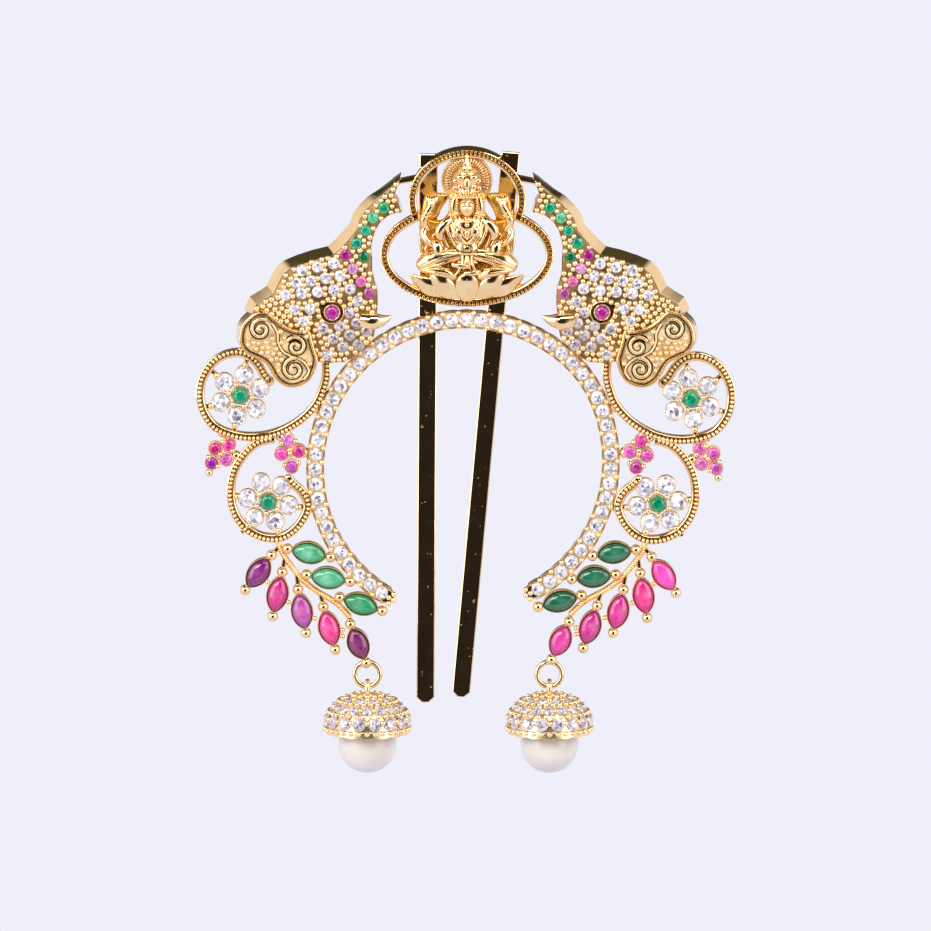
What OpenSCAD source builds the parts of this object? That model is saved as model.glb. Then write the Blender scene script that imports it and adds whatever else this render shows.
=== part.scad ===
// Bun pin: a pierced gold frame with a horseshoe of stones, two elephant heads, scrolls,
// leaf sprays and a seated figure in a trefoil, on two flat hair prongs, with two drops.
// X runs right, Z up and Y to the back, all in millimetres, as the pin hangs when worn.
// The origin lies between the prongs at the ring's inner edge, halfway through their thickness.
// Depths are heights in front of the frame's back face, which rests on the prongs.

/* [Frame] */
// Thickness of the ring and of the beaded wires
frame_t = 1.6; // [1.5:0.1:2]
// Thickness of the elephants' heads
head_t = 2.3; // [2.2:0.1:2.8]
// Thickness up to the front of the ears
ear_t = 3; // [2.8:0.1:3.4]
// How far the right branch is bent inwards, in degrees
branch_bend = 3; // [0:0.5:3.5]

/* [Horseshoe ring] */
// Radius of the line of stones
ring_r = 16.6; // [16.5:0.1:16.8]
// Width of the band
ring_w = 2; // [1.9:0.1:2.1]
// Stones on each side of the top one
ring_half_count = 26; // [20:1:26]
// Angle between two stones, in degrees
ring_pitch = 5.62; // [5.5:0.01:5.65]

/* [Stones] */
// Diameter of the ring's stones
ring_stone_d = 1.4; // [1.2:0.05:1.4]
// Diameter of the white stones on the heads
head_stone_d = 1.3; // [1.1:0.05:1.3]
// Diameter of the green and pink stones
colour_stone_d = 1.35; // [1.1:0.05:1.35]
// Diameter of a flower's centre stone
centre_stone_d = 1.8; // [1.5:0.1:1.8]
// Diameter of a flower's petal stones
petal_stone_d = 2; // [1.6:0.1:2]
// Width of the leaf-shaped stones
leaf_w = 2.2; // [1.8:0.1:2.2]
// Play around a stone in its seat
stone_gap = 0.05; // [0.04:0.01:0.06]

/* [Wires] */
// Width of the trefoil's beaded wire
trefoil_wire_w = 0.9; // [0.9:0.1:1]
// Width of the scrolls' beaded wire
scroll_wire_w = 0.95; // [0.85:0.05:1.05]
// Diameter of the balls at the ends of the leaves
ball_d = 1.25; // [1.1:0.05:1.3]

/* [Hair prongs] */
// Width of a prong
prong_w = 2; // [1.8:0.1:2.2]
// Thickness of a prong
prong_t = 1; // [0.8:0.1:1.2]

/* [Drops] */
// Ring centreline radius of the hanging ring
hang_r = 1.4; // [1.3:0.05:1.5]
// Diameter of the hanging ring's wire and of the loop's
drop_wire_d = 0.5; // [0.4:0.05:0.5]
// Ring centreline radius of the cap's loop
loop_r = 0.75; // [0.7:0.05:0.8]
// Radius of the domed cap at its rim
cap_r = 4.65; // [4.5:0.05:4.8]
// Height of the cap's dome above its rim band
cap_h = 3.4; // [3.2:0.1:3.6]
// Height of the plain rim band
cap_band_h = 0.9; // [0.7:0.1:1]
// Wall of the cap
cap_wall = 0.6; // [0.5:0.05:0.7]
// Diameter of the pearls
pearl_d = 6.4; // [6:0.1:6.6]
// Stones in the cap's lowest row
cap_stone_count = 16; // [12:1:16]

/* [Hidden] */

gold = "goldenrod";
ring_centre = [-0.1, -15.4];
// The point about which the right branch is bent, and the heights between which the bend grows
bend_at = [17.3, -2.1];
bend_from_z = 0;
bend_full_z = -11;
// Least depth of a seat below its face, and depth of a stone's widest line
seat_depth = 0.85;
girdle_drop = 0.1;
// Facets round a stone, its table as a share of its width, and its crown and point by width
gem_sides = 8;
gem_table = 0.6;
gem_crown = 0.2;
gem_point = 0.42;
// Facets of a drilled seat or a post, and the facets round a ball and its bands
fine = 24;
ball_sides = 10;
ball_bands = 5;
// Depth at which cups begin, and the wall around a petal's or leaf's stone
cup_back = 0.2;
cup_wall = 0.2;

// Diameter of the ring's rounded ends
ring_end_d = 1.6;

// Trefoil: centre height, half width and half height of the arch and of the lower oval
arch = [14.3, 5.95, 5.15];
oval = [8.3, 9.05, 5.25];

// Trunk, from its tip to the brow: x and z of each stone
trunk_greens = [[-9.1, 13.6], [-10.3, 12.5], [-11.1, 11.1], [-12.1, 9.7], [-11.3, 8.2]];
trunk_pinks = [[-13.3, 8.4], [-12.5, 6.9], [-11.6, 5.5], [-10.7, 4.2]];
eye_at = [-14.8, 2.1];
// Rows of white stones: x and z of the first, x and z of the last, number of stones
head_rows = [
    [-14.6, 7.5, -18.1, 6.7, 3],
    [-13.9, 6.1, -18.7, 5.3, 4],
    [-12.8, 4.7, -19.9, 4.0, 5],
    [-12.0, 3.3, -12.0, 3.3, 1],
    [-17.2, 2.5, -18.9, 2.4, 2],
    [-12.9, 2.1, -12.9, 2.1, 1],
    [-17.9, 1.1, -17.9, 1.1, 1],
    [-12.1, 0.9, -15.8, 0.3, 3],
    [-11.0, 0.0, -14.7, -0.8, 3],
    [-11.9, -1.5, -13.6, -1.7, 2],
    [-15.3, -2.6, -15.3, -2.6, 1]
];
// Face outline of the left head, from the trunk's tip round the back, the jaw and the chest
head_outline = [
    [-7.4, 16.6], [-8.2, 15.9], [-9.1, 15.1], [-10.3, 14.2], [-11.2, 13.2], [-11.8, 12.3],
    [-12.1, 11.2], [-12.9, 10.2], [-13.7, 9.3], [-14.6, 8.5], [-16.3, 8.1], [-18.1, 7.5],
    [-19.5, 6.9], [-20.3, 6.1], [-20.8, 5.1], [-21.2, 4.2], [-22.1, 3.6], [-23.1, 3.0],
    [-23.6, 1.9], [-22.5, -0.4], [-18.4, -1.8], [-16.7, -3.3], [-15.0, -3.5], [-13.4, -3.4],
    [-12.2, -2.7], [-11.4, -1.9], [-10.3, -0.8], [-10.0, 0.4], [-9.9, 1.6], [-9.8, 3.2],
    [-9.8, 4.4], [-10.1, 5.4], [-10.4, 6.6], [-10.4, 8.0], [-10.5, 9.2], [-10.3, 10.3],
    [-10.0, 11.2], [-9.5, 12.0], [-8.7, 12.7], [-7.9, 13.0], [-7.2, 13.1], [-7.5, 14.1],
    [-8.0, 14.9], [-7.7, 15.7]
];
// How far the head's foot spreads to the outer side and upwards below its face, and all round
head_foot = [-0.55, 0.4];
head_draft = 0.3;
// Layer left upright at the top of a drafted plate, and the width left of its spread there
plate_lip = 0.1;
plate_tip = 0.05;
// Width of the eye's rim, its root below and its height above the head, and its corner in outline
eye_rim_w = 0.35;
eye_root = 0.5;
eye_rise = 0.3;
eye_corner = [[0, 1], [-1.9, 0.8], [-0.9, -0.4]];
// Ear outline, from its upper tip round the front edge, the lobe and the back edge
ear_outline = [
    [-22.1, 2.3], [-21.1, 1.5], [-20.2, 0.8], [-19.2, 0.3], [-18.3, 0.1], [-17.3, 0.1],
    [-17.0, -0.9], [-16.7, -2.0], [-16.4, -3.0], [-16.6, -4.0], [-17.0, -4.9], [-17.6, -5.6],
    [-18.5, -6.0], [-19.5, -6.1], [-20.4, -5.7], [-21.1, -5.0], [-21.6, -4.1], [-22.1, -3.4],
    [-23.0, -2.9], [-23.9, -2.5], [-24.5, -2.0], [-24.9, -1.2], [-24.9, -0.2], [-24.6, 0.8],
    [-24.0, 1.5], [-23.2, 2.1]
];
ear_foot = [-0.25, 0.1];
ear_draft = 0.2;
ear_back = 0.5;
ear_rim_w = 0.35;
// Spirals on the ear: x, z, outer radius, angle at which the spiral starts, and its hand
ear_spirals = [[-22.7, 0.3, 1.25, 60, 1], [-18.7, -1.6, 1.2, 150, -1], [-19.1, -4.1, 1.3, 80, 1]];
// The ear's relief: height, root below the face, width, and steps of a spiral of a turn and a half
relief_h = 0.3;
relief_root = 0.05;
relief_w = 0.28;
spiral_steps = 12;
spiral_close = 0.8;
// Tusk, from its root to its tip: x, z, depth and radius
tusk = [[-11.4, 1.2, 1.5, 0.9], [-10.2, 1.2, 1.7, 0.85], [-9.2, 1.3, 1.8, 0.55],
    [-8.3, 1.5, 1.8, 0.1]];

// Centrelines of the two scrolls
upper_scroll = [
    [-15.5, -3.0], [-15.5, -5.0], [-15.9, -6.6], [-16.7, -8.3], [-18.4, -10.0], [-20.8, -11.3],
    [-23.2, -11.8], [-25.6, -11.6], [-27.7, -10.7], [-28.9, -9.1], [-29.3, -7.4], [-29.1, -5.6],
    [-28.1, -3.8], [-26.7, -2.8], [-25.2, -2.5], [-23.9, -2.9], [-22.9, -3.9], [-22.3, -5.0],
    [-21.7, -5.7]
];
lower_scroll = [
    [-21.2, -12.0], [-23.0, -12.5], [-24.5, -13.8], [-25.6, -15.7], [-26.0, -18.0],
    [-25.6, -20.2], [-24.4, -21.9], [-22.6, -22.9], [-20.6, -23.0], [-18.9, -22.0],
    [-17.8, -20.4], [-17.6, -19.1], [-18.2, -17.9], [-19.1, -17.1], [-19.7, -16.4]
];
// Flowers: x and z of the centre, angle of the first petal, and the petals tied to the wire
upper_flower = [-24.9, -7.2, 80, [0, 1, 2, 3]];
lower_flower = [-21.9, -19.0, 50, [2, 3, 4, 5]];
petal_ring_r = 2.3;
// Wall around a flower's centre stone, and the length, width and depth of a petal's tie
flower_wall = 0.3;
tie_l = 1.2;
tie_w = 0.5;
tie_t = 1.2;
// Steps that flower cups and centre cups stand below and above the wires' face
cup_step = 0.1;
// Clusters of four: x and z of each stone
outer_cluster = [[-26.2, -12.7], [-27.7, -13.1], [-26.5, -14.3], [-28.1, -14.7]];
inner_cluster = [[-19.7, -12.2], [-20.4, -13.7], [-18.5, -13.4], [-19.3, -15.1]];
cluster_margin = 0.85;
// Balls at the clusters' tips
cluster_beads = [[-28.4, -15.8], [-26.7, -11.5], [-19.7, -11.6], [-19.7, -16.4]];
// Leaf-shaped stones: x, z, length and angle of the long axis from the ball by the stem to the
// other ball, in degrees. A red leaf's ball is tied to the stem by a twig, starting at x and z.
green_leaves = [[-17.4, -24.7, 3.6, -11], [-15.3, -27.5, 3.6, -9], [-11.7, -30.4, 3.7, -18]];
red_leaves = [
    [-23.0, -26.9, 3.6, -127, -20.8, -24.2],
    [-20.9, -29.3, 3.8, -102, -20.1, -25.3],
    [-18.2, -31.2, 3.7, -80, -18.8, -27.0],
    [-15.2, -33.1, 3.7, -75, -16.2, -29.3],
    [-12.0, -34.8, 3.4, -68, -13.0, -31.8]
];
// How much longer a leaf's cup and its seat are than the stone, and how far a ball's centre lies
// beyond the stone's tip
leaf_cup_l = 0.5;
leaf_seat_l = 0.15;
ball_beyond = 0.62;
// Steps along a leaf's arc in its stone and in its cup, and the stone's table, crown and point
leaf_steps = [6, 7];
leaf_table = 0.55;
leaf_crown = 0.5;
leaf_point = 0.65;
stem = [[-20.9, -23.0], [-20.5, -24.5], [-19.4, -26.2], [-18.3, -27.6], [-16.6, -29.0],
    [-14.5, -30.3], [-13.0, -31.8]];
// Widths and depths of the stem and of the twigs
stem_w = 0.75;
stem_depths = [0.3, 1.2];
twig_w = 0.6;
twig_depths = [0.35, 1.1];
// Depth of the balls below the wires' face, the ball at the upper scroll's end and the small balls
leaf_ball_drop = 0.4;
scroll_ball = [-21.7, -5.7];
small_ball_d = 0.9;
small_ball_depth = 0.9;
// Solder joints: x, z and radius, and how far they stay below the wires' face
solder_drop = 0.3;
solder = [
    [-12.4, -3.0, 0.6], [-16.6, -8.6, 0.6], [-17.5, -19.8, 0.6], [-18.0, -13.6, 0.6],
    [-25.4, -13.9, 0.5], [-26.9, -11.3, 0.6], [-20.6, -11.8, 0.5]
];
// Bar from the trunk's tip to the trefoil: its line, width and depths
trunk_tie = [[-7.5, 16.4], [-5.4, 16.8]];
trunk_tie_w = 0.7;
trunk_tie_depths = [0.3, 1.3];

// Hair prongs: x and z of the top and of the tip
left_prong_line = [[-4.2, 19.3], [-4.6, -41.6]];
right_prong_line = [[4.8, 19.5], [-0.7, -41.0]];
prong_tip = 0.6;
// Share of the width left at the clipped tip
prong_tip_share = 0.35;

// Drops: x and z of each hanging ring's centre, its depth, and the play under its wire
hang_left = [-11.0, -38.3];
hang_right = [9.1, -38.3];
hang_depth = 0.8;
hang_gap = 0.1;
// Depths below the hanging ring's centre: the loop just clears the lowest part of the ring
loop_below = hang_r + loop_r - drop_wire_d - hang_gap;
cap_top_below = loop_below + loop_r;
cap_rim_below = cap_top_below + cap_h;
cap_top_r = 0.9;
dome_steps = 8;
cap_stone_d = 1.4;
// Angle of the stones' row above the rim, and how far a seat is drilled to both sides of the face
cap_stone_angle = 13;
cap_seat_reach = 0.8;
// Collar under the loop, the peg in the pearl, and the pearl's centre below the rim
collar_d = 1.3;
collar_h = 0.35;
peg_d = 0.8;
peg_below = 2;
pearl_below_rim = 1.2;

// The figure, in parts: rows of x, z, depth and radius along each form
halo = [0, 16.6, 2.8];
halo_depths = [0.4, 1.2];
head_form = [[0, 15.2, 1.9, 0.35], [0, 15.5, 2.05, 0.8], [0, 16.2, 2.1, 1.05],
    [0, 16.9, 2.1, 1.1], [0, 17.5, 1.9, 0.85]];
crown_form = [[0, 17.0, 1.9, 1.15], [0, 17.6, 1.9, 1.05], [0, 18.3, 1.6, 0.6],
    [0, 19.4, 1.1, 0.3]];
torso_form = [[0, 7.6, 1.6, 1.9], [0, 9.0, 1.6, 1.6], [0, 10.6, 1.6, 1.35], [0, 12.6, 1.7, 1.75],
    [0, 14.0, 1.6, 1.9], [0, 15.0, 1.5, 0.8]];
raised_arm = [[-1.4, 13.6, 1.6, 0.75], [-3.3, 12.4, 1.5, 0.65], [-4.5, 11.9, 1.5, 0.6],
    [-4.4, 13.2, 1.7, 0.5], [-3.9, 14.6, 1.9, 0.55]];
lower_arm = [[-1.6, 13.0, 1.9, 0.7], [-3.0, 11.4, 1.9, 0.6], [-3.6, 10.4, 2.0, 0.55],
    [-3.3, 8.8, 2.5, 0.6]];
thigh = [[-0.8, 8.4, 1.7, 0.9], [-3.0, 8.0, 1.9, 0.95], [-5.0, 7.3, 1.8, 0.85],
    [-5.6, 6.9, 1.6, 0.3]];
shin = [[-5.0, 7.0, 1.9, 0.6], [-2.6, 6.6, 2.3, 0.65], [0.2, 6.9, 2.4, 0.5]];
// Left half of the garment's outline behind the arms, and its depths
garment = [
    [-2.2, 14.3], [-3.3, 12.7], [-4.6, 12.1], [-5.1, 11.0], [-4.9, 9.6], [-4.6, 8.3], [-4.7, 7.3]
];
garment_depths = [0.5, 1.4];
bloom = [[-3.9, 14.3, 1.7, 0.3], [-3.9, 15.0, 1.7, 0.65], [-3.8, 15.7, 1.6, 0.15]];
centre_petal = [[0, 2.9, 1.2, 0.7], [0, 4.0, 1.6, 1.25], [0, 5.4, 1.8, 1.1], [0, 6.6, 1.8, 0.15]];
side_petals = [
    [[-0.6, 3.1, 1.0, 0.5], [-1.9, 4.2, 1.3, 0.95], [-3.0, 5.6, 1.5, 0.75], [-3.9, 6.6, 1.5, 0.1]],
    [[-1.0, 3.1, 0.9, 0.5], [-3.0, 4.1, 1.1, 0.85], [-4.6, 5.2, 1.2, 0.6], [-5.6, 6.3, 1.2, 0.1]],
    [[-1.6, 2.9, 0.8, 0.4], [-3.6, 3.7, 0.9, 0.6], [-5.0, 4.9, 0.9, 0.5], [-6.4, 6.0, 0.9, 0.1]]
];

// Angle from the ring's top to its ends, and the places of its stones and of the heads' stones
ring_end = (ring_half_count + 0.4) * ring_pitch;
ring_spots = [for (i = [-ring_half_count : ring_half_count]) ring_point(i * ring_pitch, ring_r)];
head_spots = [for (row = head_rows) for (p = row_spots(row)) p];

// A point turned about another, clockwise seen from the front
function turned(p, c, a) =
    let (x = p[0] - c[0], z = p[1] - c[1])
    [c[0] + x * cos(a) + z * sin(a), c[1] - x * sin(a) + z * cos(a)];

// How much of the bend has come by height z, rising smoothly from 0 to 1
function bend_share(z) =
    let (t = min(1, max(0, (bend_from_z - z) / (bend_from_z - bend_full_z))))
    t * t * (3 - 2 * t);

// A point of the ring's right side, moved by the bend
function ring_bent(p) = p[0] > 0 ? turned(p, bend_at, branch_bend * bend_share(p[1])) : p;

// The point of the ring at an angle from its top and a radius, positive angles to the right
function ring_point(a, r) =
    ring_bent([ring_centre[0] + r * sin(a), ring_centre[1] + r * cos(a)]);

// A point on the smooth curve through four points, a share t of the way from the second
function curve_point(a, b, c, d, t) =
    0.5 * (2 * b + (c - a) * t + (2 * a - 5 * b + 4 * c - d) * t * t
        + (3 * b - a - 3 * c + d) * t * t * t);

// A smooth curve through points, with n steps between each two
function curve(p, n) =
    let (last = len(p) - 1)
    [
        for (i = [0 : last - 1])
            for (k = [0 : n - 1])
                curve_point(p[max(i - 1, 0)], p[i], p[i + 1], p[min(i + 2, last)], k / n),
        p[last]
    ];

function unit(v) = v / norm(v);

// The outline of a strip of width w along a path
function strip(path, w) =
    let (
        last = len(path) - 1,
        side = [
            for (i = [0 : last])
                let (t = unit(path[min(i + 1, last)] - path[max(i - 1, 0)]))
                [-t[1], t[0]] * w / 2
        ]
    )
    concat(
        [for (i = [0 : last]) path[i] + side[i]],
        [for (i = [last : -1 : 0]) path[i] - side[i]]
    );

// A regular outline of n corners with a flat side to the right
function ngon(r, n) = [for (i = [0 : n - 1]) r * [cos((i + 0.5) * 360 / n), sin((i + 0.5) * 360 / n)]];

// A leaf outline of length l and width w, n steps along each of its two arcs
function leaf(l, w, n) =
    let (r = (l * l / w + w) / 4, half = asin(l / 2 / r))
    [
        for (s = [0, 1])
            for (k = [0 : n - 1])
                let (a = half - 2 * half * k / n)
                (s == 0 ? 1 : -1) * [r * sin(a), r * cos(a) - r + w / 2]
    ];

// Stones of a row, evenly spaced from its first to its last
function row_spots(row) =
    [
        for (i = [0 : row[4] - 1])
            let (t = row[4] > 1 ? i / (row[4] - 1) : 0)
            [row[0], row[1]] + ([row[2], row[3]] - [row[0], row[1]]) * t
    ];

function leaf_at(l) = [l[0], l[1]];

// The ball at a leaf's twig end (side -1) or at its free end (side 1)
function leaf_ball(l, side) = leaf_at(l) + side * (l[2] / 2 + ball_beyond) * [cos(l[3]), sin(l[3])];

function petal_spots(flower) =
    [
        for (i = [0 : 5])
            let (a = flower[2] + 60 * i)
            [flower[0], flower[1]] + petal_ring_r * [cos(a), sin(a)]
    ];

// Turns a drawing so that its x runs right, its y up and its height to the front
module face_on() {
    translate([0, -prong_t / 2, 0]) rotate([90, 0, 0]) children();
}

// A drawing made solid between two depths
module slab(from, to) {
    face_on() translate([0, 0, from]) linear_extrude(to - from) children();
}

// A straight round post between two depths
module post(p, d, from, to) {
    face_on() translate([p[0], p[1], from]) cylinder(d = d, h = to - from, $fn = fine);
}

// A ball of flat facets
module ball(p, d, depth) {
    rows = [
        for (k = [0 : ball_bands])
            let (a = 90 * (2 * k + 1) / (ball_bands + 1) - 90)
            [p[0], p[1] + d / 2 * sin(a), depth, d / 2 * cos(a)]
    ];
    form(rows, ball_sides, 1);
}

module mirrored() {
    mirror([1, 0, 0]) children();
}

module on_both_sides() {
    children();
    mirrored() children();
}

// Puts a part of the left branch on the right, with the bend
module on_right_branch() {
    translate([bend_at[0], 0, bend_at[1]])
        rotate([0, branch_bend, 0])
            translate([-bend_at[0], 0, -bend_at[1]])
                mirrored() children();
}

module on_both_branches() {
    children();
    on_right_branch() children();
}

// Depth of a seat that leaves play under the point of a stone of diameter d
function depth_for(d) = max(seat_depth, girdle_drop + gem_point * d + stone_gap);

// Round seats for stones of diameter d, drilled down from a face
module seats(spots, d, face) {
    for (p = spots) post(p, d + 2 * stone_gap, face - depth_for(d), face + 1);
}

// A cut stone: an outline at the girdle, a smaller table above it and a point below
module gem(outline, table, crown, pavilion) {
    n = len(outline);
    points = concat(
        [for (p = outline) [p[0], p[1], 0]],
        [for (p = outline) [p[0] * table, p[1] * table, crown]],
        [[0, 0, -pavilion]]
    );
    faces = concat(
        [[for (i = [n - 1 : -1 : 0]) n + i]],
        [for (i = [0 : n - 1]) [i, n + i, n + (i + 1) % n, (i + 1) % n]],
        [for (i = [0 : n - 1]) [2 * n, i, (i + 1) % n]]
    );
    polyhedron(points, faces);
}

module round_stone(d) {
    gem(ngon(d / 2, gem_sides), gem_table, gem_crown * d, gem_point * d);
}

module round_stones(spots, d, face) {
    face_on() for (p = spots) translate([p[0], p[1], face - girdle_drop]) round_stone(d);
}

// A smooth form through rows of x, z, depth and radius, flattened in depth
module form(rows, sides, flat) {
    last = len(rows) - 1;
    path = [for (r = rows) [r[0], r[1], r[2]]];
    points = [
        for (i = [0 : last])
            let (
                t = unit(path[min(i + 1, last)] - path[max(i - 1, 0)]),
                s = unit(cross(t, [0, 0, 1])),
                n = cross(t, s)
            )
            for (k = [0 : sides - 1])
                path[i] + rows[i][3] * (cos(360 * k / sides) * s + flat * sin(360 * k / sides) * n)
    ];
    rings = [
        for (i = [0 : last - 1])
            for (k = [0 : sides - 1])
                let (a = i * sides + k, b = i * sides + (k + 1) % sides)
                each [[a, a + sides, b + sides], [a, b + sides, b]]
    ];
    ends = [
        [for (k = [0 : sides - 1]) k],
        [for (k = [sides - 1 : -1 : 0]) last * sides + k]
    ];
    face_on() polyhedron(points, concat(rings, ends));
}

module ring_band() {
    steps = 2 * ring_half_count;
    angles = [for (i = [0 : steps]) ring_end * (2 * i / steps - 1)];
    difference() {
        union() {
            slab(0, frame_t)
                polygon(concat(
                    [for (i = [0 : steps]) ring_point(angles[i], ring_r + ring_w / 2)],
                    [for (i = [steps : -1 : 0]) ring_point(angles[i], ring_r - ring_w / 2)]
                ));
            for (s = [-1, 1]) post(ring_point(s * ring_end, ring_r), ring_end_d, 0, frame_t);
        }
        seats(ring_spots, ring_stone_d, frame_t);
    }
}

module trefoil_outline() {
    translate([0, arch[0]]) scale([arch[1], arch[2]]) circle(1, $fn = 48);
    translate([0, oval[0]]) scale([oval[1], oval[2]]) circle(1, $fn = 60);
}

module trefoil_wire() {
    slab(0, frame_t)
        difference() {
            offset(delta = trefoil_wire_w / 2) trefoil_outline();
            offset(delta = -trefoil_wire_w / 2) trefoil_outline();
        }
}

module lotus() {
    form(centre_petal, 8, 0.7);
    on_both_sides() for (rows = side_petals) form(rows, 6, 0.6);
}

module figure() {
    post(halo, 2 * halo[2], halo_depths[0], halo_depths[1]);
    form(head_form, 8, 0.9);
    form(crown_form, 8, 0.9);
    form(torso_form, 8, 0.65);
    slab(garment_depths[0], garment_depths[1])
        polygon(concat(garment, [for (i = [len(garment) - 1 : -1 : 0]) [-garment[i][0], garment[i][1]]]));
    on_both_sides() {
        form(raised_arm, 6, 1);
        form(lower_arm, 6, 1);
        form(thigh, 8, 0.9);
        form(bloom, 6, 0.8);
    }
    form(shin, 6, 0.9);
    mirrored() form(shin, 6, 0.9);
}

// A raised plate whose sides spread towards its foot, further to the outer side
module drafted_plate(from, to, foot, draft) {
    spread_h = to - from - plate_lip;
    face_on()
        translate([0, 0, from])
            minkowski() {
                linear_extrude(plate_lip) children();
                multmatrix([
                    [1, 0, -foot[0] / spread_h, foot[0]],
                    [0, 1, -foot[1] / spread_h, foot[1]],
                    [0, 0, 1, 0],
                    [0, 0, 0, 1]
                ])
                    cylinder(r1 = draft, r2 = plate_tip, h = spread_h, $fn = 6);
            }
}

// One spiral of the ear's relief, winding inwards by a turn and a half
function spiral(s) =
    [
        for (k = [0 : spiral_steps])
            let (a = s[3] + s[4] * 540 * k / spiral_steps, r = s[2] * (1 - spiral_close * k / spiral_steps))
            [s[0] + r * cos(a), s[1] + r * sin(a)]
    ];

// A raised line on the ear's face
module ear_relief() {
    slab(ear_t - relief_root, ear_t + relief_h) children();
}

module ear() {
    drafted_plate(ear_back, ear_t, ear_foot, ear_draft) polygon(ear_outline);
    ear_relief()
        difference() {
            polygon(ear_outline);
            offset(delta = -ear_rim_w) polygon(ear_outline);
        }
    for (s = ear_spirals) ear_relief() polygon(strip(spiral(s), relief_w));
}

module eye_rim() {
    post(eye_at, head_stone_d + 2 * eye_rim_w, head_t - eye_root, head_t + eye_rise);
    slab(head_t - eye_root, head_t + eye_rise) translate(eye_at) polygon(eye_corner);
}

module elephant_head() {
    difference() {
        union() {
            drafted_plate(0, head_t, head_foot, head_draft) polygon(head_outline);
            eye_rim();
        }
        seats(head_spots, head_stone_d, head_t);
        seats(concat(trunk_greens, trunk_pinks), colour_stone_d, head_t);
        seats([eye_at], head_stone_d, head_t + eye_rise);
    }
    ear();
    form(tusk, 8, 0.9);
    slab(trunk_tie_depths[0], trunk_tie_depths[1]) polygon(strip(trunk_tie, trunk_tie_w));
}

module flower(f) {
    for (p = petal_spots(f)) post(p, petal_stone_d + 2 * cup_wall, cup_back, frame_t - cup_step);
    post(f, centre_stone_d + 2 * flower_wall, cup_back, frame_t + cup_step);
    for (i = f[3])
        slab(cup_back, tie_t)
            translate([f[0], f[1]])
                rotate(f[2] + 60 * i)
                    translate([petal_ring_r + petal_stone_d / 2, -tie_w / 2])
                        square([tie_l, tie_w]);
}

module flower_seats(f) {
    seats(petal_spots(f), petal_stone_d, frame_t - cup_step);
    seats([[f[0], f[1]]], centre_stone_d, frame_t + cup_step);
}

module cluster(spots) {
    slab(cup_back, frame_t - cup_step)
        offset(r = cluster_margin, $fn = fine)
            polygon([for (i = [0, 1, 3, 2]) spots[i]]);
}

// The closed cup that holds a leaf-shaped stone
module leaf_cup(l) {
    difference() {
        slab(cup_back, frame_t)
            translate(leaf_at(l)) rotate(l[3])
                polygon(leaf(l[2] + leaf_cup_l, leaf_w + 2 * cup_wall, leaf_steps[1]));
        slab(frame_t - seat_depth, frame_t + 1)
            translate(leaf_at(l)) rotate(l[3])
                polygon(leaf(l[2] + leaf_seat_l, leaf_w + 2 * stone_gap, leaf_steps[1]));
    }
}

module spray() {
    for (l = concat(green_leaves, red_leaves)) {
        leaf_cup(l);
        for (s = [-1, 1]) ball(leaf_ball(l, s), ball_d, frame_t - leaf_ball_drop);
    }
    slab(stem_depths[0], stem_depths[1]) polygon(strip(curve(stem, 2), stem_w));
    for (l = red_leaves)
        slab(twig_depths[0], twig_depths[1]) polygon(strip([[l[4], l[5]], leaf_ball(l, -1)], twig_w));
}

// The seats of the flowers and clusters are drilled last, so they also clear the wires beside them
module branch() {
    difference() {
        union() {
            for (s = [upper_scroll, lower_scroll])
                slab(0, frame_t) polygon(strip(curve(s, 2), scroll_wire_w));
            ball(scroll_ball, ball_d, small_ball_depth);
            flower(upper_flower);
            flower(lower_flower);
            cluster(outer_cluster);
            cluster(inner_cluster);
            for (p = cluster_beads) ball(p, small_ball_d, small_ball_depth);
            for (s = solder) post(s, 2 * s[2], 0, frame_t - solder_drop);
        }
        flower_seats(upper_flower);
        flower_seats(lower_flower);
        for (c = [outer_cluster, inner_cluster]) seats(c, colour_stone_d, frame_t - cup_step);
    }
    spray();
}

// A round wire ring about the height axis
module wire_ring(r) {
    rotate_extrude($fn = 48) translate([r, 0]) circle(d = drop_wire_d, $fn = fine);
}

module hanging_ring(at) {
    face_on()
        translate([at[0], at[1], hang_depth])
            wire_ring(hang_r);
}

module frame() {
    color(gold) {
        ring_band();
        trefoil_wire();
        lotus();
        figure();
        on_both_sides() elephant_head();
        on_both_branches() branch();
        hanging_ring(hang_left);
        hanging_ring(hang_right);
    }
}

// A flat strip with squared top and clipped tip, from the first point to the second
module prong(line) {
    t = unit(line[1] - line[0]);
    s = [-t[1], t[0]] * prong_w / 2;
    neck = line[1] - t * prong_tip;
    color("darkgoldenrod")
        translate([0, prong_t / 2, 0])
            rotate([90, 0, 0])
                linear_extrude(prong_t)
                    polygon([line[0] - s, line[0] + s, neck + s, line[1] + s * prong_tip_share,
                        line[1] - s * prong_tip_share, neck - s]);
}

// A leaf-shaped stone in its cup
module leaf_stone(l, shade) {
    color(shade)
        face_on()
            translate([l[0], l[1], frame_t - girdle_drop])
                rotate(l[3])
                    gem(leaf(l[2], leaf_w, leaf_steps[0]), leaf_table, leaf_crown, leaf_point);
}

// Radius of the dome at a height above its rim band
function dome_r(h) = cap_top_r + (cap_r - cap_top_r) * sqrt(max(0, 1 - pow(h / cap_h, 2)));

module at_drop(at) {
    translate([at[0], -prong_t / 2 - hang_depth, at[1]]) children();
}

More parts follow.
